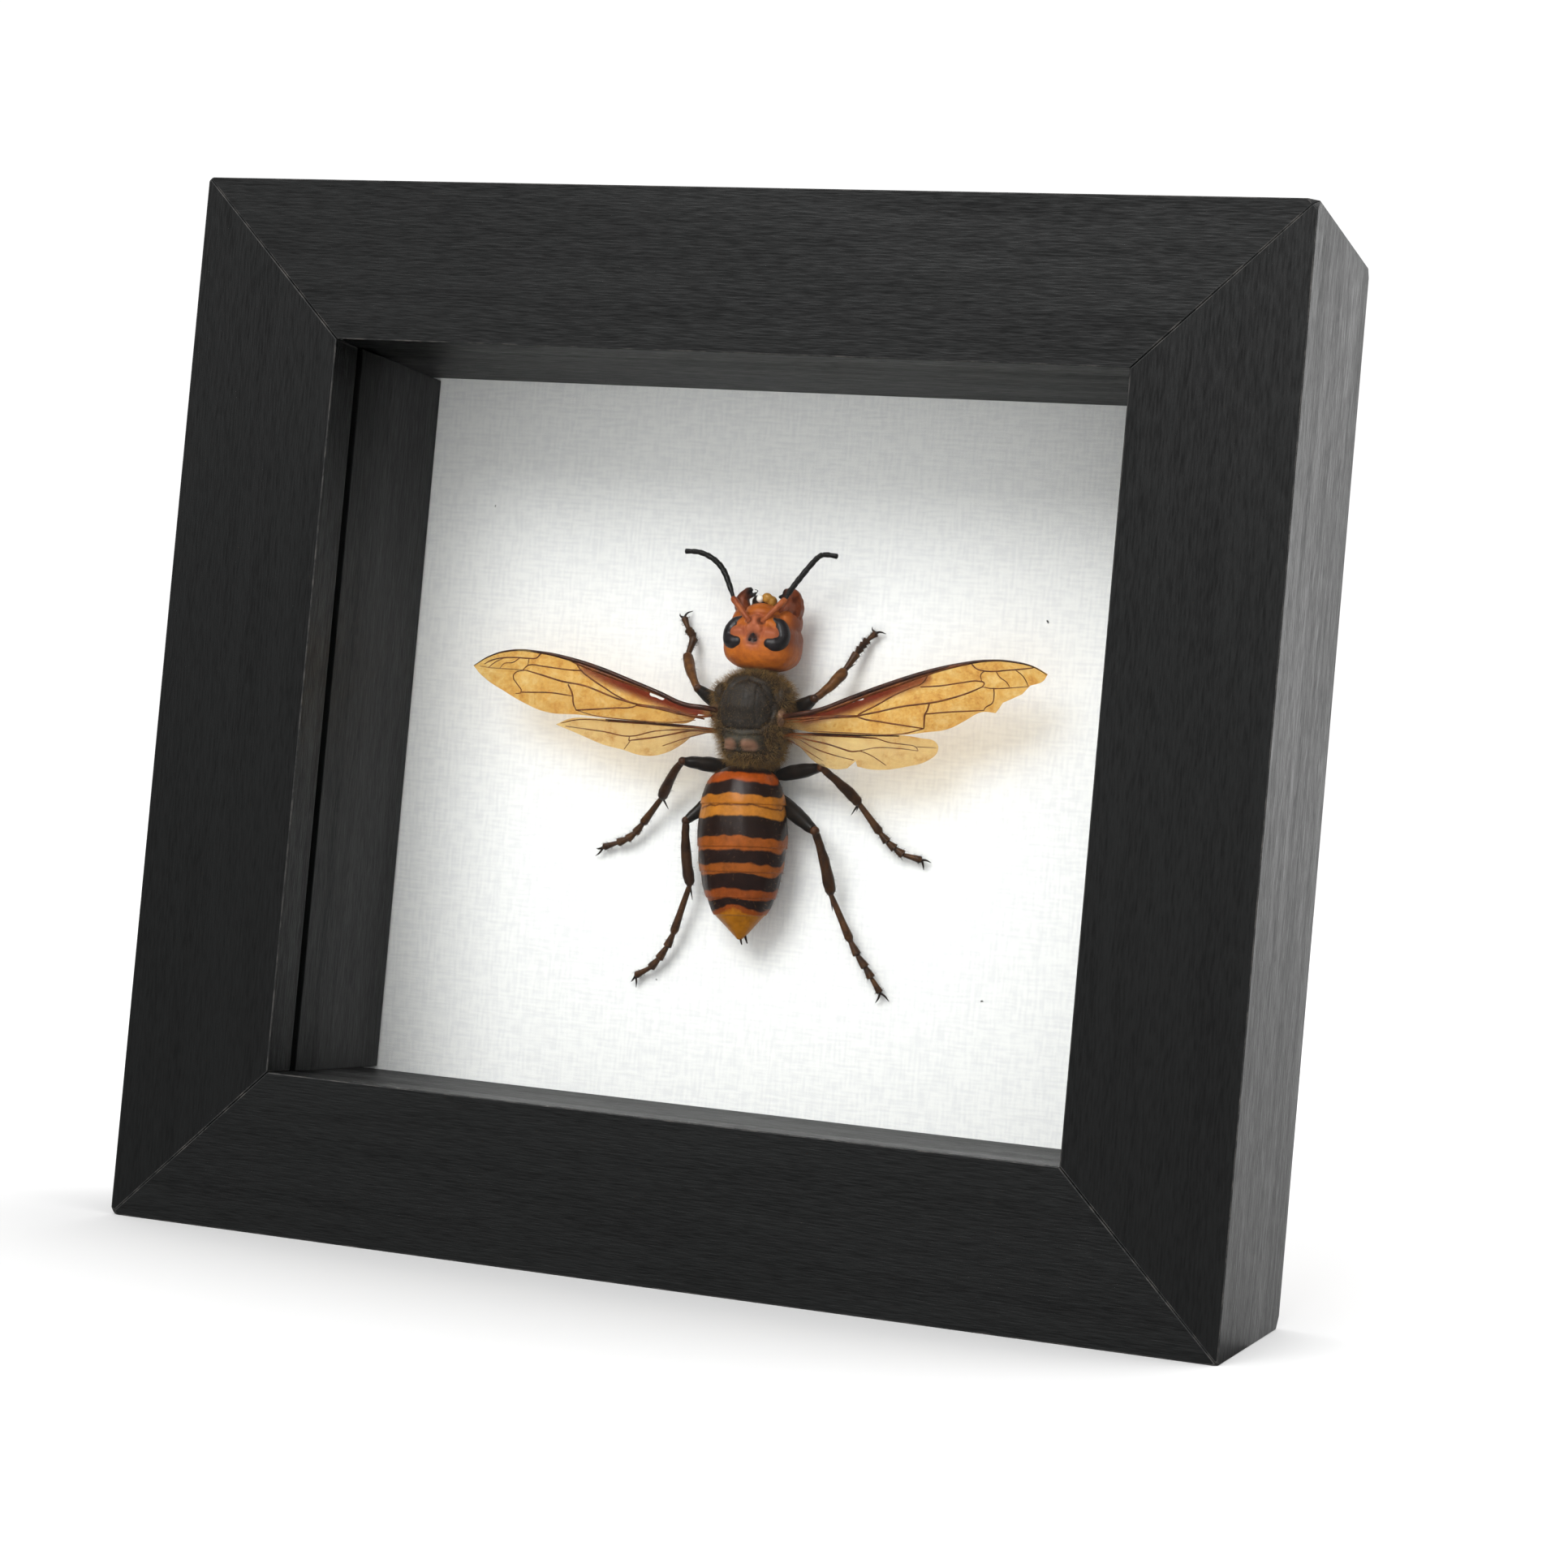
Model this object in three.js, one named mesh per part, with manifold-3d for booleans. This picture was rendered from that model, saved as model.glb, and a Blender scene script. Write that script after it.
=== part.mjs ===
// A dried giant hornet with its wings, legs and antennae spread, mounted on a white card
// in a black wooden box frame with a glass front.
// Millimetres. X runs to the right, Y from the front of the frame to its back, Z up.
// The origin is the middle of the frame's base. Pieces that touch keep a gap of TOUCH.

import * as THREE from 'three';
import { mergeVertices } from 'three/addons/utils/BufferGeometryUtils.js';
import Module from 'manifold-3d';

const wasm = await Module();
wasm.setup();

// Frame
const FRAME_WIDTH = 127;
const FRAME_HEIGHT = 118.5;
const FRAME_DEPTH = 35.5;
const MOULDING_WIDTH = 18;
const LIP_THICKNESS = 5.5;
const RABBET_WIDTH = 4.1;
const GLASS_THICKNESS = 3;
const SPACER_THICKNESS = 3.2;
const CARD_SETBACK = 30.8;
const CARD_THICKNESS = 1;
const BOARD_THICKNESS = 1.5;
const POINT_LENGTH = 9;
const POINT_WIDTH = 7;
const POINT_THICKNESS = 0.5;
const POINT_BURIED = 3;
const TOUCH = 0.3;

// Hornet
const THORAX_HEIGHT_ON_CARD = 62.5;
const BODY_CENTRE_X = -0.5;
const FOREWING_LIFT = 8.5;
const HINDWING_LIFT = 7.5;
const WING_THICKNESS = 0.25;
const COSTA_RADII = [0.26, 0.16];
const LIMB_SIDES = 6;
const SPIKE_SIDES = 5;
const STING_RADII = [0.22, 0.04];

const FRONT_Y = -FRAME_DEPTH / 2;
const BACK_Y = FRAME_DEPTH / 2;
const CARD_Y = FRONT_Y + CARD_SETBACK;
const RABBET_WALL = MOULDING_WIDTH - RABBET_WIDTH;
const RABBET_OPENING_WIDTH = FRAME_WIDTH - 2 * RABBET_WALL;
const RABBET_OPENING_HEIGHT = FRAME_HEIGHT - 2 * RABBET_WALL;
const FRAME_CENTRE_Z = FRAME_HEIGHT / 2;
const POINT_Y = CARD_Y + CARD_THICKNESS + BOARD_THICKNESS + 2 * TOUCH;

const blackWood = new THREE.MeshStandardMaterial({ color: '#2a2b2b', roughness: 0.6 });
const blackSpacer = new THREE.MeshStandardMaterial({ color: '#333333', roughness: 0.7 });
const glass = new THREE.MeshStandardMaterial({
  color: '#eef4f2',
  roughness: 0.03,
  transparent: true,
  opacity: 0.25,
});
const whiteCard = new THREE.MeshStandardMaterial({ color: '#ececec', roughness: 0.9 });
const hardboard = new THREE.MeshStandardMaterial({ color: '#6d5236', roughness: 0.8 });
const steel = new THREE.MeshStandardMaterial({ color: '#9a9c9e', roughness: 0.35, metalness: 1 });
const orangeCuticle = new THREE.MeshStandardMaterial({ color: '#c8641e', roughness: 0.45 });
const bandedCuticle = new THREE.MeshStandardMaterial({ color: '#8a4d1c', roughness: 0.45 });
const blackCuticle = new THREE.MeshStandardMaterial({ color: '#2d2a27', roughness: 0.55 });
const legCuticle = new THREE.MeshStandardMaterial({ color: '#3a2415', roughness: 0.5 });
const antennaCuticle = new THREE.MeshStandardMaterial({ color: '#17120f', roughness: 0.5 });
const amberWing = new THREE.MeshStandardMaterial({ color: '#c99a4a', roughness: 0.3 });

const model = new THREE.Group();
const hornet = new THREE.Group();
hornet.position.set(0, CARD_Y, THORAX_HEIGHT_ON_CARD);
hornet.rotation.x = Math.PI / 2;
model.add(hornet);

function addPiece(group, name, geometry, material, position = [0, 0, 0], turnY = 0) {
  const mesh = new THREE.Mesh(geometry, material);
  mesh.name = name;
  mesh.position.set(...position);
  mesh.rotation.y = turnY;
  group.add(mesh);
  return mesh;
}

// A closed geometry becomes a solid that can be joined and cut.
function solidOf(geometry) {
  const bare = geometry.clone();
  bare.deleteAttribute('normal');
  bare.deleteAttribute('uv');
  const merged = mergeVertices(bare, 1e-4);
  const corners = merged.index.array;
  const kept = [];
  for (let i = 0; i < corners.length; i += 3) {
    const [a, b, c] = [corners[i], corners[i + 1], corners[i + 2]];
    if (a !== b && b !== c && c !== a) kept.push(a, b, c);
  }
  return new wasm.Manifold(new wasm.Mesh({
    numProp: 3,
    vertProperties: new Float32Array(merged.attributes.position.array),
    triVerts: new Uint32Array(kept),
  }));
}

function geometryOf(solid) {
  const mesh = solid.getMesh();
  const geometry = new THREE.BufferGeometry();
  geometry.setAttribute('position', new THREE.BufferAttribute(mesh.vertProperties, 3));
  geometry.setIndex(new THREE.BufferAttribute(mesh.triVerts, 1));
  geometry.computeVertexNormals();
  return geometry;
}

function joined(solids) {
  return solids.reduce((whole, next) => whole.add(next));
}

function box(sizes, centre) {
  return new THREE.BoxGeometry(...sizes).translate(...centre);
}

function outline(points) {
  return new THREE.Shape(points.map(([x, y]) => new THREE.Vector2(x, y)));
}

// One side of the frame, lying on its outer face: X runs along it and Z towards the opening.
// The front lip overhangs the rabbet, the ends are mitred, and a slot takes a framer's point.
function frameSide(length) {
  const section = outline([
    [0, FRONT_Y],
    [MOULDING_WIDTH, FRONT_Y],
    [MOULDING_WIDTH, FRONT_Y + LIP_THICKNESS],
    [RABBET_WALL, FRONT_Y + LIP_THICKNESS],
    [RABBET_WALL, BACK_Y],
    [0, BACK_Y],
  ]);
  const moulding = new THREE.ExtrudeGeometry(section, { depth: length, bevelEnabled: false });
  moulding.rotateY(-Math.PI / 2).translate(length / 2, 0, 0);

  const halfOuter = length / 2 - TOUCH * Math.SQRT1_2;
  const halfInner = halfOuter - MOULDING_WIDTH;
  const mitred = outline([
    [-halfOuter, 0],
    [halfOuter, 0],
    [halfInner, MOULDING_WIDTH],
    [-halfInner, MOULDING_WIDTH],
  ]);
  const cutDepth = FRAME_DEPTH + 2;
  const mitre = new THREE.ExtrudeGeometry(mitred, { depth: cutDepth, bevelEnabled: false });
  mitre.rotateX(Math.PI / 2).translate(0, cutDepth / 2, 0);

  const slotDepth = POINT_BURIED + TOUCH;
  const slot = box(
    [POINT_WIDTH + 2 * TOUCH, POINT_THICKNESS + 2 * TOUCH, 2 * slotDepth],
    [0, POINT_Y + POINT_THICKNESS / 2, RABBET_WALL],
  );
  return geometryOf(solidOf(moulding).intersect(solidOf(mitre)).subtract(solidOf(slot)));
}

function addFrame() {
  const longSide = frameSide(FRAME_WIDTH);
  const shortSide = frameSide(FRAME_HEIGHT);
  const halfWidth = FRAME_WIDTH / 2;
  const quarterTurn = Math.PI / 2;
  addPiece(model, 'frame_bottom_rail', longSide, blackWood);
  addPiece(model, 'frame_top_rail', longSide, blackWood, [0, 0, FRAME_HEIGHT], Math.PI);
  addPiece(model, 'frame_left_stile', shortSide, blackWood, [-halfWidth, 0, FRAME_CENTRE_Z], quarterTurn);
  addPiece(model, 'frame_right_stile', shortSide, blackWood, [halfWidth, 0, FRAME_CENTRE_Z], -quarterTurn);
}

// A sheet that fills the rabbet, with its front face at y.
function addSheet(name, thickness, y, material) {
  const sheet = new THREE.BoxGeometry(
    RABBET_OPENING_WIDTH - 2 * TOUCH,
    thickness,
    RABBET_OPENING_HEIGHT - 2 * TOUCH,
  );
  addPiece(model, name, sheet, material, [0, y + thickness / 2, FRAME_CENTRE_Z]);
}

function addSheets() {
  addSheet('glass_pane', GLASS_THICKNESS, FRONT_Y + LIP_THICKNESS + TOUCH, glass);
  addSheet('backing_card', CARD_THICKNESS, CARD_Y, whiteCard);
  addSheet('back_board', BOARD_THICKNESS, CARD_Y + CARD_THICKNESS + TOUCH, hardboard);
}

// Four strips line the walls of the box and hold the card away from the glass.
function addSpacers() {
  const frontOfSpacer = FRONT_Y + LIP_THICKNESS + GLASS_THICKNESS + 2 * TOUCH;
  const depth = CARD_Y - TOUCH - frontOfSpacer;
  const middleY = frontOfSpacer + depth / 2;
  const longLength = RABBET_OPENING_WIDTH - 2 * TOUCH;
  const shortLength = RABBET_OPENING_HEIGHT - 2 * (SPACER_THICKNESS + 2 * TOUCH);
  const fromEdge = RABBET_WALL + TOUCH + SPACER_THICKNESS / 2;
  const longStrip = new THREE.BoxGeometry(longLength, depth, SPACER_THICKNESS);
  const shortStrip = new THREE.BoxGeometry(SPACER_THICKNESS, depth, shortLength);
  const sideX = FRAME_WIDTH / 2 - fromEdge;
  addPiece(model, 'spacer_bottom', longStrip, blackSpacer, [0, middleY, fromEdge]);
  addPiece(model, 'spacer_top', longStrip, blackSpacer, [0, middleY, FRAME_HEIGHT - fromEdge]);
  addPiece(model, 'spacer_left', shortStrip, blackSpacer, [-sideX, middleY, FRAME_CENTRE_Z]);
  addPiece(model, 'spacer_right', shortStrip, blackSpacer, [sideX, middleY, FRAME_CENTRE_Z]);
}

// Flat steel points, each half buried in a side of the frame, hold the back board in.
function addFramersPoints() {
  const fromEdge = RABBET_WALL - POINT_BURIED + POINT_LENGTH / 2;
  const y = POINT_Y + POINT_THICKNESS / 2;
  const upright = new THREE.BoxGeometry(POINT_WIDTH, POINT_THICKNESS, POINT_LENGTH);
  const level = new THREE.BoxGeometry(POINT_LENGTH, POINT_THICKNESS, POINT_WIDTH);
  const sideX = FRAME_WIDTH / 2 - fromEdge;
  addPiece(model, 'framers_point_bottom', upright, steel, [0, y, fromEdge]);
  addPiece(model, 'framers_point_top', upright, steel, [0, y, FRAME_HEIGHT - fromEdge]);
  addPiece(model, 'framers_point_left', level, steel, [-sideX, y, FRAME_CENTRE_Z]);
  addPiece(model, 'framers_point_right', level, steel, [sideX, y, FRAME_CENTRE_Z]);
}

// The hornet is modelled lying on its card: X to the right, Y towards the head from the
// middle of the thorax, and Z the height above the card.

function ellipsoid(centre, radii, grow = 0, sides = 16, rings = 10) {
  const [a, b, c] = radii.map((radius) => radius + grow);
  const shape = new THREE.SphereGeometry(1, sides, rings);
  shape.scale(a, b, c).translate(BODY_CENTRE_X + centre[0], centre[1], centre[2]);
  return solidOf(shape);
}

// A straight limb segment that goes through the given radii at even steps along its length.
function limbSegment(from, to, radii, sides = LIMB_SIDES) {
  const start = new THREE.Vector3(...from);
  const along = new THREE.Vector3(...to).sub(start);
  const length = along.length();
  const steps = radii.length - 1;
  const shape = new THREE.CylinderGeometry(1, 1, length, sides, steps);
  const places = shape.attributes.position;
  for (let i = 0; i < places.count; i += 1) {
    const ring = Math.round((places.getY(i) / length + 0.5) * steps);
    places.setX(i, places.getX(i) * radii[ring]);
    places.setZ(i, places.getZ(i) * radii[ring]);
  }
  shape.translate(0, length / 2, 0);
  const turn = new THREE.Quaternion();
  turn.setFromUnitVectors(new THREE.Vector3(0, 1, 0), along.normalize());
  shape.applyQuaternion(turn).translate(...from);
  return solidOf(shape);
}

function limbJoint(centre, radius) {
  return solidOf(new THREE.SphereGeometry(radius, LIMB_SIDES, 4).translate(...centre));
}

// A round limb that bends smoothly through the points, its radius going through the radii.
function bentLimb(points, radii, steps, sides = LIMB_SIDES) {
  const curve = new THREE.CatmullRomCurve3(points.map((point) => new THREE.Vector3(...point)));
  const frames = curve.computeFrenetFrames(steps, false);
  const shape = new THREE.CylinderGeometry(1, 1, 1, sides, steps);
  const places = shape.attributes.position;
  for (let i = 0; i < places.count; i += 1) {
    const ring = Math.round((places.getY(i) + 0.5) * steps);
    const along = (ring / steps) * (radii.length - 1);
    const before = Math.min(Math.floor(along), radii.length - 2);
    const radius = THREE.MathUtils.lerp(radii[before], radii[before + 1], along - before);
    const place = curve.getPointAt(ring / steps);
    place.addScaledVector(frames.normals[ring], places.getZ(i) * radius);
    place.addScaledVector(frames.binormals[ring], places.getX(i) * radius);
    places.setXYZ(i, place.x, place.y, place.z);
  }
  return solidOf(shape);
}

// The thorax: main body, collar behind the head, raised back shield, scutellum, the slope
// down to the waist, and a scale over each wing root.
function thoraxSolid(grow) {
  return joined([
    ellipsoid([0, 0.2, 5.2], [4.6, 5, 4.8], grow, 20, 14),
    ellipsoid([0, 3.9, 5.4], [3.5, 1.6, 3.6], grow),
    ellipsoid([0, 1.5, 7.6], [3.3, 3.5, 2.8], grow),
    ellipsoid([0, -2.3, 7.4], [2.6, 1.6, 2.2], grow),
    ellipsoid([0, -3.2, 4.9], [3.6, 2.4, 4.1], grow),
    ellipsoid([-3.7, 0.4, 7.4], [0.9, 1.1, 0.9], grow, 8, 6),
    ellipsoid([3.7, 0.4, 7.4], [0.9, 1.1, 0.9], grow, 8, 6),
  ]);
}

// The head: skull, eyes, face shield, and a jaw on each side that closes towards the middle.
function headSolid(grow) {
  return joined([
    ellipsoid([0.15, 9.2, 5], [4.25, 3.8, 4.2], grow, 16, 12),
    ellipsoid([0.15, 7.6, 4.9], [4, 2.2, 3.9], grow, 14, 8),
    ellipsoid([-2.65, 9.9, 6.5], [1.2, 2.1, 1.9], grow, 10, 7),
    ellipsoid([2.95, 9.9, 6.5], [1.2, 2.1, 1.9], grow, 10, 7),
    ellipsoid([0.2, 12.4, 6.1], [2.2, 1.4, 1.6], grow, 10, 7),
  ]);
}

function jaws() {
  return joined([
    bentLimb([[-2.9, 12, 5], [-3.1, 14, 4.7], [-2.2, 15, 4.5]], [1.1, 0.8, 0.25], 5),
    bentLimb([[2.3, 11.8, 5], [2.5, 14.1, 4.8], [1.3, 15, 4.6]], [1.4, 1.1, 0.35], 5),
  ]);
}

// The abdomen: six overlapping rings, each with a small step at its rear edge, and a pointed tip.
// Rows hold the place along the body and the half width there.
const ABDOMEN_PROFILE = [
  [-5.3, 0], [-5.3, 1.6], [-5.8, 3], [-7.1, 4.2], [-8.6, 4.75], [-9.9, 5],
  [-10.1, 4.85], [-12.2, 5.25], [-13.6, 5.35], [-14.9, 5.3],
  [-15.1, 5.1], [-16.5, 5.05], [-17.7, 4.9],
  [-17.9, 4.7], [-19.3, 4.45], [-20.6, 4.05],
  [-20.8, 3.85], [-21.8, 3.5], [-22.5, 3.1],
  [-22.7, 2.75], [-23.8, 1.75], [-24.9, 0.75], [-25.4, 0],
];
const ABDOMEN_SIDES = 20;
const ABDOMEN_FLATTENING = 0.83;
const ABDOMEN_LIFT = 4.9;
const ABDOMEN_TURN = THREE.MathUtils.degToRad(3.6);
const ABDOMEN_ROOT_X = -1.6;
const STING_POINTS = [
  [[-0.1, -24.6, 4.8], [0.3, -25.9, 4.8]],
  [[0.4, -24.4, 4.8], [0.95, -25.7, 4.8]],
];

function abdomenSolid(grow) {
  const profile = ABDOMEN_PROFILE.map(([y, radius]) => new THREE.Vector2(radius + grow, y));
  profile.at(0).set(0, profile.at(0).y + grow);
  profile.at(-1).set(0, profile.at(-1).y - grow);
  const shape = new THREE.LatheGeometry(profile.reverse(), ABDOMEN_SIDES);
  shape.scale(1, 1, ABDOMEN_FLATTENING).rotateZ(ABDOMEN_TURN);
  shape.translate(ABDOMEN_ROOT_X, 0, ABDOMEN_LIFT);
  return solidOf(shape);
}

function abdomenWithSting() {
  const points = STING_POINTS.map(([root, tip]) => limbSegment(root, tip, STING_RADII, SPIKE_SIDES));
  return joined([abdomenSolid(0), ...points]);
}

// Each leg, with the hip under the thorax, the thigh's root and knee, the shin's end, the ends
// of the five foot joints, the tips of the spurs at the shin's end, and the tips of the claws.
const LEGS = {
  fore_leg_left: {
    hip: [-3, 0.2, 2.4], root: [-3.9, 0.6, 3.2], knee: [-7.6, 3.1, 5.5], shin: [-10.3, 7.1, 2.6],
    foot: [
      [-10.1, 9.2, 1.6], [-10.4, 9.5, 1.5], [-10.7, 9.8, 1.4],
      [-11, 10.1, 1.3], [-11.8, 11.5, 0.9],
    ],
    spurs: [[-9.9, 8.5, 1.8]],
    claws: [[-12.6, 12, 0.4], [-11, 12.4, 0.4]],
    thickness: 1.05,
  },
  fore_leg_right: {
    hip: [2, 0.4, 2.4], root: [2.9, 1, 3.4], knee: [6.6, 2.9, 5.5], shin: [9, 6.5, 2.8],
    foot: [
      [10, 8.7, 1.8], [10.3, 9.3, 1.6], [10.6, 9.8, 1.4],
      [10.9, 10.3, 1.2], [11.8, 11.2, 0.9],
    ],
    spurs: [[9.9, 7.4, 1.9]],
    claws: [[11.1, 11.9, 0.4], [12.8, 11.2, 0.4]],
    thickness: 1.05,
  },
  middle_leg_left: {
    hip: [-2, -4.4, 2.2], root: [-2.6, -5.6, 2.4], knee: [-8.5, -5.4, 6], shin: [-11.8, -9.7, 2.8],
    foot: [
      [-14.3, -13, 1.9], [-15.2, -14.1, 1.6], [-16.2, -14.9, 1.4],
      [-17.4, -15.4, 1.2], [-19.3, -16.1, 0.9],
    ],
    spurs: [[-11.2, -11, 2]],
    claws: [[-20.4, -16.3, 0.4], [-20.4, -17.2, 0.4]],
    thickness: 1,
  },
  middle_leg_right: {
    hip: [1.2, -4.6, 2.2], root: [1.7, -6.1, 2.5], knee: [8.3, -4.9, 6], shin: [12.2, -8.5, 3],
    foot: [
      [14.8, -11.7, 2], [15.6, -12.6, 1.7], [16.5, -13.3, 1.4],
      [17.5, -13.9, 1.2], [19.6, -14.3, 0.9],
    ],
    spurs: [[11.1, -9.9, 2], [11.8, -9.4, 2.3]],
    claws: [[20.6, -14.5, 0.4], [19.8, -15.4, 0.4]],
    thickness: 1,
  },
  hind_leg_left: {
    hip: [-1.4, -4.8, 1.6], root: [-2, -6, 1.3], knee: [-8, -12.2, 4.4], shin: [-7.4, -19.5, 2.8],
    foot: [
      [-9.2, -25.4, 2], [-9.9, -27, 1.8], [-10.9, -28.5, 1.5],
      [-11.9, -29.6, 1.2], [-13.8, -30.7, 0.9],
    ],
    spurs: [[-7.2, -21.3, 2]],
    claws: [[-14.5, -31.5, 0.4], [-13.8, -32.1, 0.4]],
    thickness: 1.05,
  },
  hind_leg_right: {
    hip: [0.5, -4.8, 1.6], root: [0.8, -8, 1.3], knee: [8, -12.1, 5.3], shin: [9.7, -19, 2.8],
    foot: [
      [12.4, -24.3, 2], [13.3, -25.8, 1.8], [14.3, -27.1, 1.5],
      [15, -28.2, 1.2], [16.1, -29.8, 0.9],
    ],
    spurs: [[9.9, -21, 2]],
    claws: [[15.5, -31, 0.4], [17.1, -30.7, 0.4]],
    thickness: 1.1,
  },
};
const THIGH_RADII = [0.55, 0.75, 0.72, 0.55];
const SHIN_RADII = [0.36, 0.5, 0.78, 0.7];
const FOOT_RADII = [[0.3, 0.44], [0.3, 0.42], [0.28, 0.4], [0.28, 0.38], [0.28, 0.46]];
const SPUR_RADII = [0.14, 0.04];
const CLAW_RADII = [0.16, 0.05];
const HIP_RADII = [0.6, 0.6];

function legSolid({ hip, root, knee, shin, foot, spurs, claws, thickness }) {
  const thicken = (radii) => radii.map((radius) => radius * thickness);
  const parts = [
    limbSegment(hip, root, HIP_RADII),
    limbJoint(root, HIP_RADII[1]),
    limbSegment(root, knee, thicken(THIGH_RADII)),
    limbJoint(knee, 0.5 * thickness),
    limbSegment(knee, shin, thicken(SHIN_RADII)),
  ];
  let start = shin;
  foot.forEach((end, i) => {
    parts.push(limbSegment(start, end, FOOT_RADII[i]));
    start = end;
  });
  spurs.forEach((tip) => parts.push(limbSegment(shin, tip, SPUR_RADII, SPIKE_SIDES)));
  claws.forEach((tip) => parts.push(limbSegment(start, tip, CLAW_RADII, SPIKE_SIDES)));
  return joined(parts);
}

// Each antenna runs from its socket on the face, through the elbow, to the drooping tip.
const ANTENNAE = {
  antenna_left: [
    [-1.15, 11.1, 8.2], [-3.5, 13.5, 7.5], [-4.45, 15.3, 7], [-5.45, 16.9, 6.6],
    [-6.9, 18.1, 6.2], [-8.75, 18.8, 6], [-10.5, 18.8, 6],
  ],
  antenna_right: [
    [0.4, 11.4, 8.2], [2.6, 13.7, 7.5], [3.25, 15.1, 7.2], [4.05, 16.5, 6.8],
    [5.3, 18.4, 6.4], [6.25, 19.3, 6.2], [8, 19.2, 6],
  ],
};
const ANTENNA_RADII = [0.36, 0.34, 0.42, 0.42, 0.4, 0.34, 0.2];
const ANTENNA_STEPS = 14;

// Wing outlines, from the root along the leading edge to the tip and back along the trailing edge.
// stiff is how many of the first points carry the thick leading vein.
const WINGS = {
  forewing_left: {
    lift: FOREWING_LIFT, stiff: 8,
    edge: [
      [-3.6, 1], [-5, 0.8], [-8, 1], [-11.1, 2.1], [-14.9, 3.3], [-18.7, 4.5], [-22.5, 5.3],
      [-26.4, 5.8], [-30.2, 5.8], [-32.9, 5], [-34.7, 3.7], [-33.2, 2.5], [-30.3, 1],
      [-27.6, -0.2], [-24.8, -1.1], [-21, -1.1], [-18.1, -1.2], [-9.4, -1.3], [-6.9, -0.9],
      [-6.1, 0.1], [-3.6, -0.2],
    ],
  },
  forewing_right: {
    lift: FOREWING_LIFT, stiff: 9,
    edge: [
      [3, 0.6], [5.5, 0.8], [8.4, 1.5], [11.5, 2.9], [16.2, 5], [20.9, 6.8], [25, 7.9],
      [27.4, 8.4], [30.3, 8.5], [34.3, 7.3], [33.8, 6.5], [32.4, 5.9], [31.6, 4.9], [29.5, 3.8],
      [28.8, 2.6], [27.2, 2.6], [25.2, 1.4], [23.4, 0.4], [21, -0.1], [18.2, -0.6], [7.7, -1.1],
      [3, -0.6],
    ],
  },
  hindwing_left: {
    lift: HINDWING_LIFT, stiff: 4,
    edge: [
      [-3.6, -1.5], [-5.6, -1.5], [-11.6, -1.4], [-19.4, -1.4], [-22.3, -1.5], [-24, -2.4],
      [-20.7, -3.4], [-17.8, -4.3], [-15.4, -4.7], [-12.6, -5.2], [-10.1, -4.7], [-8.1, -3.5],
      [-6.9, -2.5], [-5.6, -2.1], [-3.6, -1.9],
    ],
  },
  hindwing_right: {
    lift: HINDWING_LIFT, stiff: 4,
    edge: [
      [2.8, -1.6], [5.1, -1.5], [10.4, -1.1], [17.6, -0.6], [20.1, -0.8], [22, -1.1],
      [22.2, -2.1], [21.5, -3], [18.7, -4.1], [14.8, -4.7], [13.1, -4.5], [12.8, -3.9],
      [11.9, -4.8], [10.4, -5], [8.1, -4.4], [6.2, -2.9], [4.9, -2.1], [2.8, -2.1],
    ],
  },
};

function wingSolid({ edge, lift, stiff }) {
  const wing = outline(edge);
  const membrane = new THREE.ExtrudeGeometry(wing, { depth: WING_THICKNESS, bevelEnabled: false });
  membrane.translate(0, 0, lift);
  const middle = lift + WING_THICKNESS / 2;
  const vein = edge.slice(0, stiff).map(([x, y]) => [x, y, middle]);
  return solidOf(membrane).add(bentLimb(vein, COSTA_RADII, 2 * stiff, 6));
}

function addHornet() {
  const thorax = thoraxSolid(0);
  const aroundThorax = thoraxSolid(TOUCH);
  const aroundHead = headSolid(TOUCH);
  const aroundAbdomen = abdomenSolid(TOUCH);
  const add = (name, solid, material) => addPiece(hornet, name, geometryOf(solid), material);

  add('hornet_thorax', thorax, blackCuticle);
  add('hornet_head', headSolid(0).add(jaws()).subtract(aroundThorax), orangeCuticle);
  add('hornet_abdomen', abdomenWithSting().subtract(aroundThorax), bandedCuticle);
  for (const [name, points] of Object.entries(ANTENNAE)) {
    add(name, bentLimb(points, ANTENNA_RADII, ANTENNA_STEPS).subtract(aroundHead), antennaCuticle);
  }
  for (const [name, wing] of Object.entries(WINGS)) {
    add(name, wingSolid(wing).subtract(aroundThorax), amberWing);
  }
  for (const [name, leg] of Object.entries(LEGS)) {
    add(name, legSolid(leg).subtract(aroundThorax).subtract(aroundAbdomen), legCuticle);
  }
}

addFrame();
addSheets();
addSpacers();
addFramersPoints();
addHornet();

export default model;
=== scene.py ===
import math
import random

import bpy
import numpy as np
from mathutils import Matrix, Vector, noise


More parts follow.
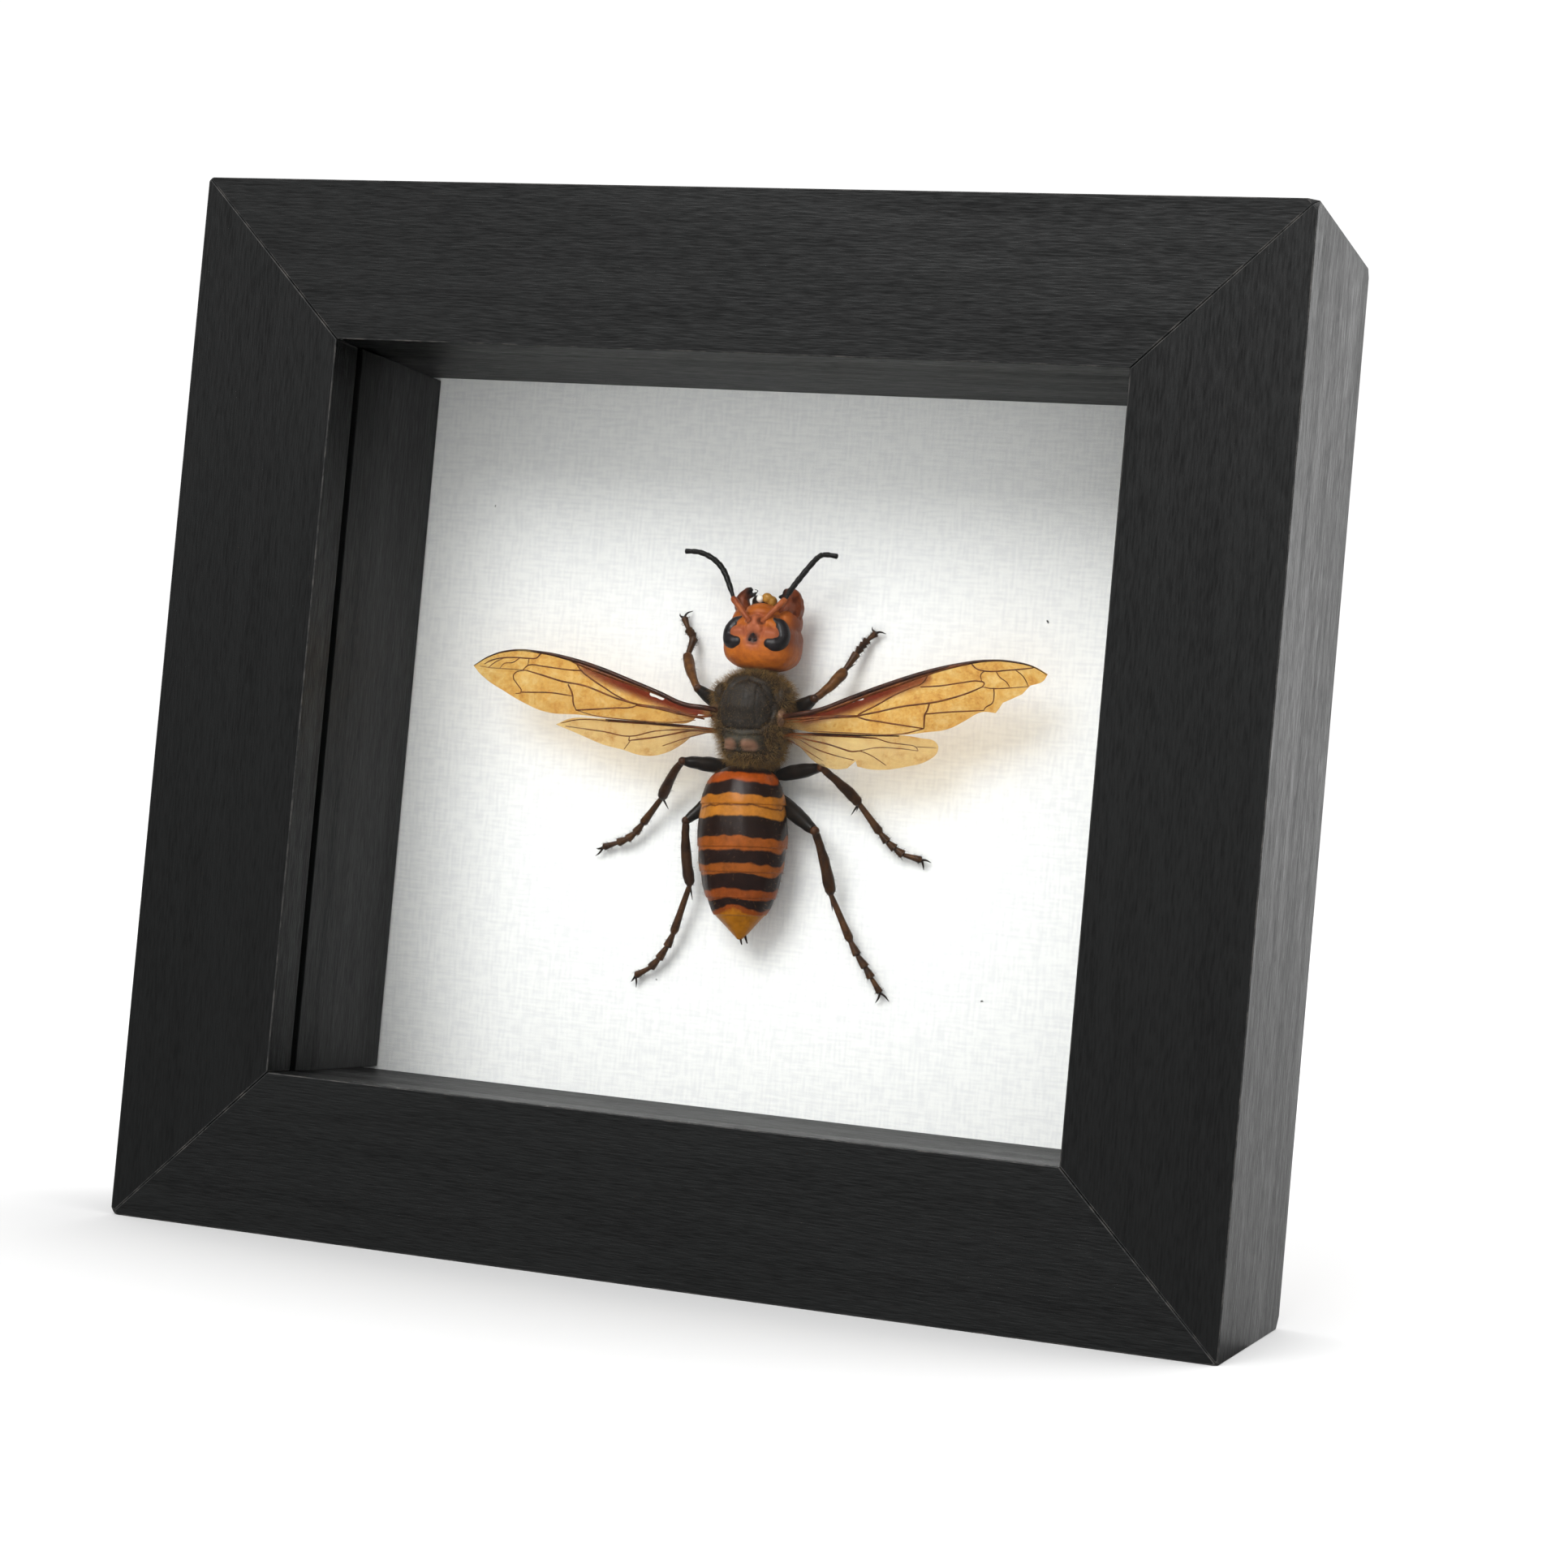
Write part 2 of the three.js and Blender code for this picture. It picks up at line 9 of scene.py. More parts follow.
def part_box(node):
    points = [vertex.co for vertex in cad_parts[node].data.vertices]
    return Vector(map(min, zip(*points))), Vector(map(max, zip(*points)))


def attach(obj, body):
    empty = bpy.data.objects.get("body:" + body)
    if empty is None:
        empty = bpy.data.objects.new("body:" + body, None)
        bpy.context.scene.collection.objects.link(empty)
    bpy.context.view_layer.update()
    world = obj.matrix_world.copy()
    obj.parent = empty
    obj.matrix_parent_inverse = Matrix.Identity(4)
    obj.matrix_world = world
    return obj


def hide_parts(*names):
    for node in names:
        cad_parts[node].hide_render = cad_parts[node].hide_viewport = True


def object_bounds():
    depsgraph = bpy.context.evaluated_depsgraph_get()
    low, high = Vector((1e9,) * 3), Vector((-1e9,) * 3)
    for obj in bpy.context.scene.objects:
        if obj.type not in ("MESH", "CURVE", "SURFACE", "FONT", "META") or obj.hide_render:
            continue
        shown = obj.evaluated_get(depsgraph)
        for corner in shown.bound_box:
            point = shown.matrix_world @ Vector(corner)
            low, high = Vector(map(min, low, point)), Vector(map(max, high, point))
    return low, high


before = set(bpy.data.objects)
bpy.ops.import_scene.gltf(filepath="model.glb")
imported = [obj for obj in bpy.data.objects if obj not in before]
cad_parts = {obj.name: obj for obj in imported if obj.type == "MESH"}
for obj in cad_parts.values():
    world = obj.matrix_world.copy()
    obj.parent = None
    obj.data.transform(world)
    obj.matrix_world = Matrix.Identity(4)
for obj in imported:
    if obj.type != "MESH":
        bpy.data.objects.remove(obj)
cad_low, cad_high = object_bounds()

MM = 0.001

# The frame's planes and sizes, in metres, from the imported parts. A fitted part lies TOUCH inside
# the space that is cut for it.
FRONT = cad_low.y
BACK = cad_high.y
WIDTH = cad_high.x - cad_low.x
HEIGHT = cad_high.z
TOUCH = 0.3 * MM
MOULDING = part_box("frame_bottom_rail")[1].z
LIP_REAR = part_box("glass_pane")[0].y - TOUCH
RABBET_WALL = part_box("back_board")[0].z - TOUCH
CARD_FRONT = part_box("backing_card")[0].y
MITRE_GAP = 0.05 * MM
EDGE_ROUNDING = 0.35 * MM

# The hornet is modelled in millimetres as it lies on its card: X to the right, Y from the
# middle of the thorax towards the head, and Z the height above the card.
THORAX_HEIGHT_ON_CARD = 62.5 * MM
ON_CARD = (
    Matrix.Translation((0, CARD_FRONT, THORAX_HEIGHT_ON_CARD))
    @ Matrix.Rotation(math.pi / 2, 4, "X")
    @ Matrix.Scale(MM, 4)
)
HEAD_X = -0.35
THORAX_X = -0.5


# Modelling


def only(piece):
    """Selects this piece alone."""
    bpy.ops.object.select_all(action="DESELECT")
    piece.select_set(True)
    bpy.context.view_layer.objects.active = piece
    return piece


def settle(piece):
    """Puts a piece's place, turn and size into its mesh."""
    only(piece)
    bpy.ops.object.transform_apply(location=True, rotation=True, scale=True)
    return piece


def modify(piece, kind, **settings):
    """Adds a modifier with these settings and applies it."""
    only(piece)
    bpy.ops.object.modifier_add(type=kind)
    modifier = piece.modifiers[-1]
    for setting, value in settings.items():
        setattr(modifier, setting, value)
    bpy.ops.object.modifier_apply(modifier=modifier.name)
    return piece


def weld(piece, distance=0.001):
    """Merges corners that lie on each other and turns all faces outwards."""
    only(piece)
    bpy.ops.object.mode_set(mode="EDIT")
    bpy.ops.mesh.select_all(action="SELECT")
    bpy.ops.mesh.remove_doubles(threshold=distance)
    bpy.ops.mesh.normals_make_consistent(inside=False)
    bpy.ops.object.mode_set(mode="OBJECT")
    return piece


def join(pieces):
    """Makes one piece of several."""
    only(pieces[0])
    for piece in pieces[1:]:
        piece.select_set(True)
    if len(pieces) > 1:
        bpy.ops.object.join()
    return pieces[0]


def copy_of(piece):
    """A copy of a piece with its own mesh."""
    twin = piece.copy()
    twin.data = piece.data.copy()
    bpy.context.scene.collection.objects.link(twin)
    return twin


def block(low, high):
    """A rectangular block between two opposite corners."""
    low, high = Vector(low), Vector(high)
    bpy.ops.object.select_all(action="DESELECT")
    bpy.ops.mesh.primitive_cube_add(size=1, location=(low + high) / 2)
    piece = bpy.context.object
    piece.scale = high - low
    return settle(piece)


def ball(centre, radii, segments=28, rings=18):
    """A ball that is stretched to three radii."""
    bpy.ops.object.select_all(action="DESELECT")
    bpy.ops.mesh.primitive_uv_sphere_add(segments=segments, ring_count=rings, location=centre)
    piece = bpy.context.object
    piece.scale = radii
    return settle(piece)


def keep_flat(piece, rounding, **settings):
    """Rounds a piece's edges a little and keeps its large faces flat in shading."""
    modify(piece, "BEVEL", width=rounding, segments=3, limit_method="ANGLE", **settings)
    only(piece)
    bpy.ops.object.shade_smooth()
    return modify(piece, "WEIGHTED_NORMAL", keep_sharp=False)


def boxy_ball(centre, radii, power):
    """A ball whose sides are pressed towards a rounded box: the lower the power, the boxier."""
    piece = ball((0, 0, 0), (1, 1, 1), 40, 28)
    places = corners_of(piece)
    move_corners(piece, np.sign(places) * np.abs(places) ** power)
    piece.data.transform(Matrix.Translation(centre) @ Matrix.Diagonal((*radii, 1)))
    return piece


ABOVE_ALL = 20


def on_skin(skin, x, y, depth=0.0):
    """The point on a piece's upper side at x and y, or so deep below it."""
    _, place, normal, _ = skin.ray_cast(Vector((x, y, ABOVE_ALL)), Vector((0, 0, -1)))
    return place - normal * depth


def cut(piece, point, normal):
    """Saws a piece along a plane and takes away the side that the normal points to."""
    only(piece)
    bpy.ops.object.mode_set(mode="EDIT")
    bpy.ops.mesh.select_all(action="SELECT")
    bpy.ops.mesh.bisect(plane_co=point, plane_no=normal, use_fill=True, clear_outer=True)
    bpy.ops.object.mode_set(mode="OBJECT")
    return piece


def select_faces(piece, wanted):
    """Goes into edit mode with those faces selected for which wanted(centre, normal) holds."""
    only(piece)
    bpy.ops.object.mode_set(mode="EDIT")
    bpy.ops.mesh.select_mode(type="FACE")
    bpy.ops.mesh.select_all(action="DESELECT")
    bpy.ops.object.mode_set(mode="OBJECT")
    for face in piece.data.polygons:
        face.select = wanted(face.center, face.normal)
    bpy.ops.object.mode_set(mode="EDIT")


def fuse(pieces, voxel, smoothing=4):
    """Grows overlapping bodies into one skin."""
    piece = join(pieces)
    modify(piece, "REMESH", mode="VOXEL", voxel_size=voxel)
    return modify(piece, "SMOOTH", factor=0.5, iterations=smoothing)


def lay_line(line, points, radii=None, closed=False, corners=()):
    """Lays one more smooth line through the points. It has a sharp bend at each corner."""
    spline = line.data.splines.new("BEZIER")
    spline.bezier_points.add(len(points) - 1)
    spline.use_cyclic_u = closed
    for i, (bend, place) in enumerate(zip(spline.bezier_points, points)):
        bend.co = Vector((*place, 0)[:3])
        handle = "VECTOR" if i in corners else "AUTO"
        bend.handle_left_type = bend.handle_right_type = handle
        bend.radius = radii[i] if radii else 1


def bare_line():
    """A curve object with nothing on it yet."""
    bpy.ops.object.select_all(action="DESELECT")
    bpy.ops.curve.primitive_bezier_curve_add()
    line = bpy.context.object
    line.data.splines.clear()
    return line


def rod(points, radii, steps=4, rounding=1):
    """A round limb bent through the points, with a radius at each."""
    line = bare_line()
    lay_line(line, points, radii)
    line.data.bevel_depth = 1
    line.data.bevel_resolution = rounding
    line.data.resolution_u = steps
    line.data.use_fill_caps = True
    bpy.ops.object.convert(target="MESH")
    return weld(bpy.context.object)


def smooth_path(points, per_span):
    """Points on a smooth line through the given ones, so many on each span."""
    ends = [Vector(p) for p in points]
    ends = [2 * ends[0] - ends[1], *ends, 2 * ends[-1] - ends[-2]]
    path = []
    for before, start, end, after in zip(ends, ends[1:], ends[2:], ends[3:]):
        for step in range(per_span):
            t = step / per_span
            path.append(
                0.5 * (
                    2 * start
                    + (end - before) * t
                    + (2 * before - 5 * start + 4 * end - after) * t**2
                    + (3 * start - before - 3 * end + after) * t**3
                )
            )
    return [*path, ends[-2]]


def corners_of(piece):
    """The places of a piece's corners, one row each."""
    places = np.empty(len(piece.data.vertices) * 3, np.float32)
    piece.data.vertices.foreach_get("co", places)
    return places.reshape(-1, 3).astype(float)


def normals_of(piece):
    """Which way the skin faces at each corner, one row each."""
    normals = np.empty(len(piece.data.vertices) * 3, np.float32)
    piece.data.vertex_normals.foreach_get("vector", normals)
    return normals.reshape(-1, 3).astype(float)


def move_corners(piece, places):
    """Puts a piece's corners at these places."""
    piece.data.vertices.foreach_set("co", places.astype(np.float32).ravel())
    piece.data.update()


def distance_to(places, path):
    """How far each place lies from the line through the path's points, seen from above."""
    flat = places[:, :2]
    path = np.array([p[:2] for p in path], float)
    least = np.full(len(flat), 1e9)
    for start, end in zip(path, path[1:] if len(path) > 1 else path):
        along = end - start
        share = np.clip(((flat - start) @ along) / max(along @ along, 1e-9), 0, 1)
        nearest = start + share[:, None] * along
        least = np.minimum(least, np.linalg.norm(flat - nearest, axis=1))
    return least


def press(piece, path, width, depth):
    """Presses a groove along a path into the upper side, or raises a ridge if depth is negative."""
    places, normals = corners_of(piece), normals_of(piece)
    push = depth * np.exp(-((distance_to(places, path) / width) ** 2))
    push *= np.clip(normals[:, 2] * 2, 0, 1)
    move_corners(piece, places - normals * push[:, None])


def roughen(piece, size, depth, seed=0):
    """Dents a piece softly all over. size is the width of a dent."""
    places, normals = corners_of(piece), normals_of(piece)
    shift = Vector((seed * 7.3, seed * 3.1, seed * 5.7))
    push = [depth * noise.noise(Vector(place) / size + shift) for place in places]
    move_corners(piece, places + normals * np.array(push)[:, None])


def mark(piece, name, values):
    """Keeps a value at each corner, for a material to read."""
    layer = piece.data.attributes.new(name, "FLOAT", "POINT")
    layer.data.foreach_set("value", np.clip(values, 0, 1).astype(np.float32))


def finish_piece(piece, name, materials, nodes, place=ON_CARD, smooth_angle=180):
    """Puts a finished piece in its place in the frame, with its material and its solid's name.
    A piece with no smooth_angle keeps the shading that it has."""
    piece.name = name
    piece.data.name = name
    piece.data.transform(place)
    if materials:
        piece.data.materials.clear()
        for material in materials:
            piece.data.materials.append(material)
    if smooth_angle:
        only(piece)
        bpy.ops.object.shade_smooth_by_angle(angle=math.radians(smooth_angle))
    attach(piece, "root")
    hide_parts(*nodes)
    return piece


# A hair's length, as shares of the usual one, its thickness at the bend as a share of that at the root,
# and how deep it is rooted, in thicknesses. The skin is tried at PICKS_PER_HAIR places for each hair.
HAIR_LENGTHS = (0.55, 1.15)
HAIR_TAPER = 0.7
HAIR_ROOT = 2
PICKS_PER_HAIR = 8


def grow_hairs(skin, count, length, thickness, lean, wanted, seed, spread=0.35):
    """Thin tapered hairs, each a three-sided spike with one bend. wanted(place, normal) says how
    likely a hair is at that place of the skin."""
    dice = random.Random(seed)
    skin.data.calc_loop_triangles()
    triangles = skin.data.loop_triangles
    areas = np.array([t.area for t in triangles])
    picks = dice.choices(range(len(triangles)), weights=areas, k=count * PICKS_PER_HAIR)
    places, faces = [], []
    rooted = 0
    for pick in picks:
        if rooted == count:
            break
        triangle = triangles[pick]
        a, b, c = (skin.data.vertices[i].co for i in triangle.vertices)
        s, t = sorted((dice.random(), dice.random()))
        root = a * s + b * (t - s) + c * (1 - t)
        normal = triangle.normal
        if dice.random() > wanted(root, normal):
            continue
        rooted += 1
        stray = Vector((dice.gauss(0, 1), dice.gauss(0, 1), dice.gauss(0, 1))) * spread
        out = (normal + stray * 0.6).normalized()
        reach = length * dice.uniform(*HAIR_LENGTHS)
        tip = root + (out + (Vector(lean) + stray) * 0.8).normalized() * reach
        middle = root + out * reach * 0.5
        side = out.orthogonal().normalized() * thickness
        other = out.cross(side).normalized() * thickness
        first = len(places)
        for centre, share in ((root - out * thickness * HAIR_ROOT, 1), (middle, HAIR_TAPER)):
            for turn in range(3):
                angle = turn * math.tau / 3
                places.append(centre + (side * math.cos(angle) + other * math.sin(angle)) * share)
        places.append(tip)
        faces.append((first + 2, first + 1, first))
        for turn in range(3):
            after = (turn + 1) % 3
            faces.append((first + turn, first + after, first + 3 + after, first + 3 + turn))
            faces.append((first + 3 + turn, first + 3 + after, first + 6))
    mesh = bpy.data.meshes.new("hairs")
    mesh.from_pydata(places, [], faces)
    hairs = bpy.data.objects.new("hairs", mesh)
    bpy.context.scene.collection.objects.link(hairs)
    return hairs


# Materials


def colour(hex_code):
    """An sRGB hex colour as linear red, green, blue and alpha."""
    channels = [int(hex_code[i : i + 2], 16) / 255 for i in (1, 3, 5)]
    linear = [c / 12.92 if c <= 0.04045 else ((c + 0.055) / 1.055) ** 2.4 for c in channels]
    return (*linear, 1)


def new_material(name):
    """A material with no nodes yet."""
    material = bpy.data.materials.new(name)
    material.use_nodes = True
    material.node_tree.nodes.clear()
    return material


def add(material, kind, inputs=None, stops=None, **settings):
    """Adds a node with its settings, and what feeds its sockets: nodes, sockets or values."""
    tree = material.node_tree
    node = tree.nodes.new("ShaderNode" + kind)
    for setting, value in settings.items():
        setattr(node, setting, value)
    for socket, value in (inputs or {}).items():
        if isinstance(value, bpy.types.Node):
            value = value.outputs[0]
        if isinstance(value, bpy.types.NodeSocket):
            tree.links.new(value, node.inputs[socket])
        else:
            node.inputs[socket].default_value = colour(value) if isinstance(value, str) else value
    if stops:
        ramp = node.color_ramp
        ramp.elements.remove(ramp.elements[1])
        for i, (position, shade) in enumerate(stops):
            element = ramp.elements[0] if i == 0 else ramp.elements.new(position)
            element.position = position
            element.color = colour(shade) if isinstance(shade, str) else (shade, shade, shade, 1)
    return node


def in_mm(material, stretch=(1, 1, 1)):
    """Object coordinates in millimetres. A pattern is stretched as many times along each axis."""
    place = add(material, "TexCoord").outputs["Object"]
    return add(material, "Mapping", {"Vector": place, "Scale": [1 / MM / s for s in stretch]})


def surface(material, **sockets):
    """The material's shader, with its sockets named in words that are joined by underscores."""
    inputs = {name.replace("_", " "): value for name, value in sockets.items()}
    if "IOR Level" in inputs:
        inputs["Specular IOR Level"] = inputs.pop("IOR Level")
    shader = add(material, "BsdfPrincipled", inputs)
    add(material, "OutputMaterial", {"Surface": shader})
    return shader


def stained_wood(name, along, dark, light, fleck, roughness, relief):
    """Fine-grained wood, stained black and matt: short fibre dashes, faint bands, and pinpoints where
    the stain missed an open pore. Dashes and pores are drawn 0.2 mm wide, twice the real size."""
    wood = new_material(name)
    dash_place = in_mm(wood, [2.2 if axis == along else 0.2 for axis in "XYZ"])
    band_place = in_mm(wood, [45 if axis == along else 2.6 for axis in "XYZ"])
    pore_place = in_mm(wood, [0.34 if axis == along else 0.2 for axis in "XYZ"])
    dashes = add(wood, "TexNoise", {"Vector": dash_place, "Scale": 1, "Detail": 3, "Roughness": 0.6})
    bands = add(wood, "TexNoise", {"Vector": band_place, "Scale": 1, "Detail": 3, "Distortion": 0.5})
    pores = add(wood, "TexNoise", {"Vector": pore_place, "Scale": 1, "Detail": 0})
    patches = add(wood, "TexNoise", {"Vector": in_mm(wood), "Scale": 0.08, "Detail": 2})
    grain = add(wood, "MixRGB", {"Fac": 0.3, "Color1": dashes, "Color2": bands})
    stain = add(wood, "ValToRGB", {"Fac": grain}, stops=[(0.36, dark), (0.64, light)])
    rare = add(wood, "Math", {0: pores, 1: patches}, operation="ADD")
    pale = add(wood, "ValToRGB", {"Fac": rare}, stops=[(1.2, 0), (1.26, 1)])
    paint = add(wood, "MixRGB", {"Fac": pale, "Color1": stain, "Color2": fleck})
    dull, glossy = roughness + 0.12, roughness - 0.12
    shine = add(
        wood,
        "MapRange",
        {"Value": grain, "From Min": 0.35, "From Max": 0.65, "To Min": dull, "To Max": glossy},
    )
    bump = add(wood, "Bump", {"Height": grain, "Strength": 1, "Distance": relief * MM})
    surface(wood, Base_Color=paint, Roughness=shine, IOR=1.45, IOR_Level=0.24, Normal=bump)
    return wood


def patchy_wood(name, dark, light):
    """Patchy and matt wood: the black made greyer along the frame's rounded edges, or bared where a knock has
    taken it off.
    """
    wood = new_material(name)
    patches = add(wood, "TexNoise", {"Vector": in_mm(wood), "Scale": 0.5, "Detail": 6, "Roughness": 0.7})
    paint = add(wood, "ValToRGB", {"Fac": patches}, stops=[(0.45, dark), (0.7, light)])
    surface(wood, Base_Color=paint, Roughness=0.55, IOR=1.45, IOR_Level=0.35)
    return wood


def picture_glass():
    """Float glass, polished on both faces and coated against glare: perfectly clear, with hardly a
    mirror image. Light on its way to the card goes straight through it."""
    glass = new_material("float_glass")
    shader = add(
        glass,
        "BsdfPrincipled",
        {
            "Base Color": "#fefefe",
            "Roughness": 0,
            "IOR": 1.5,
            "Specular IOR Level": 0.22,
            "Transmission Weight": 1,
        },
    )
    clear = add(glass, "BsdfTransparent", {"Color": "#fcfdfc"})
    rays = add(glass, "LightPath").outputs
    passing = add(glass, "Math", {0: rays["Is Shadow Ray"], 1: rays["Is Diffuse Ray"]}, operation="MAXIMUM")
    either = add(glass, "MixShader", {0: passing, 1: shader, 2: clear})
    add(glass, "OutputMaterial", {"Surface": either})
    return glass


def linen_card():
    """White card, matt, rolled with a linen weave: crossing threads 0.5 mm apart, of uneven thickness."""
    card = new_material("linen_embossed_card")
    threads = []
    for stretch in ((0.32, 1, 2.5), (2.5, 1, 0.32), (0.45, 1, 16), (16, 1, 0.45)):
        threads.append(add(card, "TexNoise", {"Vector": in_mm(card, stretch), "Scale": 1, "Detail": 2}))
    fine = add(card, "MixRGB", {"Fac": 0.5, "Color1": threads[0], "Color2": threads[1]})
    slubs = add(card, "MixRGB", {"Fac": 0.5, "Color1": threads[2], "Color2": threads[3]})
    weave = add(card, "MixRGB", {"Fac": 0.25, "Color1": fine, "Color2": slubs})
    tint = add(card, "ValToRGB", {"Fac": weave}, stops=[(0.43, "#f1f1f2"), (0.55, "#fbfbfa")])
    bump = add(card, "Bump", {"Height": weave, "Strength": 0.8, "Distance": 0.1 * MM})
    surface(card, Base_Color=tint, Roughness=0.85, IOR=1.45, IOR_Level=0.25, Normal=bump)
    return card


def fibre_board():
    """Hardboard, pressed from steamed fibres: flat, brown, matt and slightly mottled."""
    board = new_material("pressed_hardboard")
    felt = {"Vector": in_mm(board), "Scale": 1.6, "Detail": 8, "Roughness": 0.75, "Distortion": 1.5}
    fibres = add(board, "TexNoise", felt)
    browns = [(0.35, "#5b422a"), (0.55, "#745638"), (0.7, "#8d6d4a")]
    paint = add(board, "ValToRGB", {"Fac": fibres}, stops=browns)
    bump = add(board, "Bump", {"Height": fibres, "Strength": 0.5, "Distance": 0.06 * MM})
    surface(board, Base_Color=paint, Roughness=0.75, IOR=1.45, Normal=bump)
    return board


def sheet_steel():
    """Mild steel strip, rolled and stamped: a grey metal sheen, broken by fine scratches along it."""
    steel = new_material("rolled_steel")
    scratches = add(steel, "TexNoise", {"Vector": in_mm(steel, (2, 0.1, 0.1)), "Scale": 1, "Detail": 4})
    shine = add(steel, "MapRange", {"Value": scratches, "To Min": 0.25, "To Max": 0.5})
    bump = add(steel, "Bump", {"Height": scratches, "Strength": 0.4, "Distance": 0.02 * MM})
    surface(steel, Base_Color="#a3a5a8", Metallic=1.0, Roughness=shine, Normal=bump)
    return steel


def cuticle(name, dark, light, roughness, marks=(), pit=0.12, relief=0.02):
    """Insect cuticle, grown hard and thin: a satin shell with fine pits and a cloudy colour.
    marks are pairs of a mark kept on the piece and the colour that it turns the cuticle to."""
    shell = new_material(name)
    place = in_mm(shell)
    clouds = add(shell, "TexNoise", {"Vector": place, "Scale": 0.9, "Detail": 5, "Roughness": 0.65})
    pits = add(shell, "TexNoise", {"Vector": place, "Scale": 1 / pit, "Detail": 2})
    paint = add(shell, "ValToRGB", {"Fac": clouds}, stops=[(0.33, dark), (0.67, light)])
    for mark_name, shade in marks:
        spot = add(shell, "Attribute", attribute_name=mark_name).outputs["Fac"]
        paint = add(shell, "MixRGB", {"Fac": spot, "Color1": paint, "Color2": shade})
    shine = add(shell, "MapRange", {"Value": clouds, "To Min": roughness - 0.12, "To Max": roughness + 0.12})
    bump = add(shell, "Bump", {"Height": pits, "Strength": 0.6, "Distance": relief * MM})
    surface(shell, Base_Color=paint, Roughness=shine, IOR=1.55, IOR_Level=0.16, Normal=bump)
    return shell


# The abdomen's bands: where each starts along the body in millimetres, from the waist to the tip,
# and its colour. Attribute "along" runs from 0 at BAND_START to 1 at BAND_END.
# The thin brown band at -9.85 mm is painted shade in the crease where the first ring steps down to the next.
BANDS = [
    (-5.0, "#221007"), (-6.15, "#994206"), (-7.15, "#1e0c05"), (-8.65, "#ac6718"), (-9.85, "#5c2c0a"),
    (-9.98, "#b37020"), (-11.1, "#1e0e07"), (-13.45, "#924a10"), (-14.95, "#200e08"), (-16.5, "#914b10"),
    (-17.75, "#210e08"), (-19.5, "#883f0b"), (-20.65, "#1d0c06"), (-21.95, "#883e08"), (-22.4, "#ae6c0a"),
    (-25.2, "#502708"),
]
BAND_START = -4.0
BAND_END = -26.0
BAND_BLUR = 0.09


def banded_cuticle():
    """The abdomen's cuticle: orange and blackish brown bands with uneven edges, satin, with fine pits."""
    shell = new_material("banded_cuticle")
    place = in_mm(shell)
    along = add(shell, "Attribute", attribute_name="along").outputs["Fac"]
    waves = add(shell, "TexNoise", {"Vector": place, "Scale": 0.42, "Detail": 4, "Roughness": 0.55})
    sway = add(shell, "MapRange", {"Value": waves, "To Min": -0.024, "To Max": 0.024})
    sought = add(shell, "Math", {0: along, 1: sway}, operation="ADD")
    stops = []
    shade = BANDS[0][1]
    span = BAND_END - BAND_START
    for start, next_shade in BANDS[1:]:
        middle = (start - BAND_START) / span
        stops.append((middle - BAND_BLUR / abs(span), shade))
        stops.append((middle + BAND_BLUR / abs(span), next_shade))
        shade = next_shade
    bands = add(shell, "ValToRGB", {"Fac": sought}, stops=stops)
    clouds = add(shell, "TexNoise", {"Vector": place, "Scale": 1.1, "Detail": 6, "Roughness": 0.7})
    shadow = add(shell, "ValToRGB", {"Fac": clouds}, stops=[(0.3, 0.62), (0.6, 1.0)])
    paint = add(shell, "MixRGB", {"Fac": 1, "Color1": bands, "Color2": shadow}, blend_type="MULTIPLY")
    pits = add(shell, "TexNoise", {"Vector": place, "Scale": 9, "Detail": 2})
    shine = add(shell, "MapRange", {"Value": clouds, "To Min": 0.24, "To Max": 0.4})
    bump = add(shell, "Bump", {"Height": pits, "Strength": 0.6, "Distance": 0.02 * MM})
    surface(shell, Base_Color=paint, Roughness=shine, IOR=1.55, IOR_Level=0.13, Normal=bump)
    return shell


def compound_eye():
    """A dead compound eye: near black with a dull sheen. Its facets of 0.05 mm are drawn at 0.1 mm, so
    that they show."""
    eye = new_material("compound_eye")
    place = in_mm(eye)
    facets = add(eye, "TexVoronoi", {"Vector": place, "Scale": 10})
    clouds = add(eye, "TexNoise", {"Vector": place, "Scale": 0.8, "Detail": 3})
    paint = add(eye, "ValToRGB", {"Fac": clouds}, stops=[(0.35, "#0e0b0d"), (0.65, "#1c1619")])
    bump = add(eye, "Bump", {"Height": facets, "Strength": 0.3, "Distance": 0.01 * MM})
    surface(eye, Base_Color=paint, Roughness=0.42, IOR=1.55, IOR_Level=0.22, Normal=bump)
    return eye


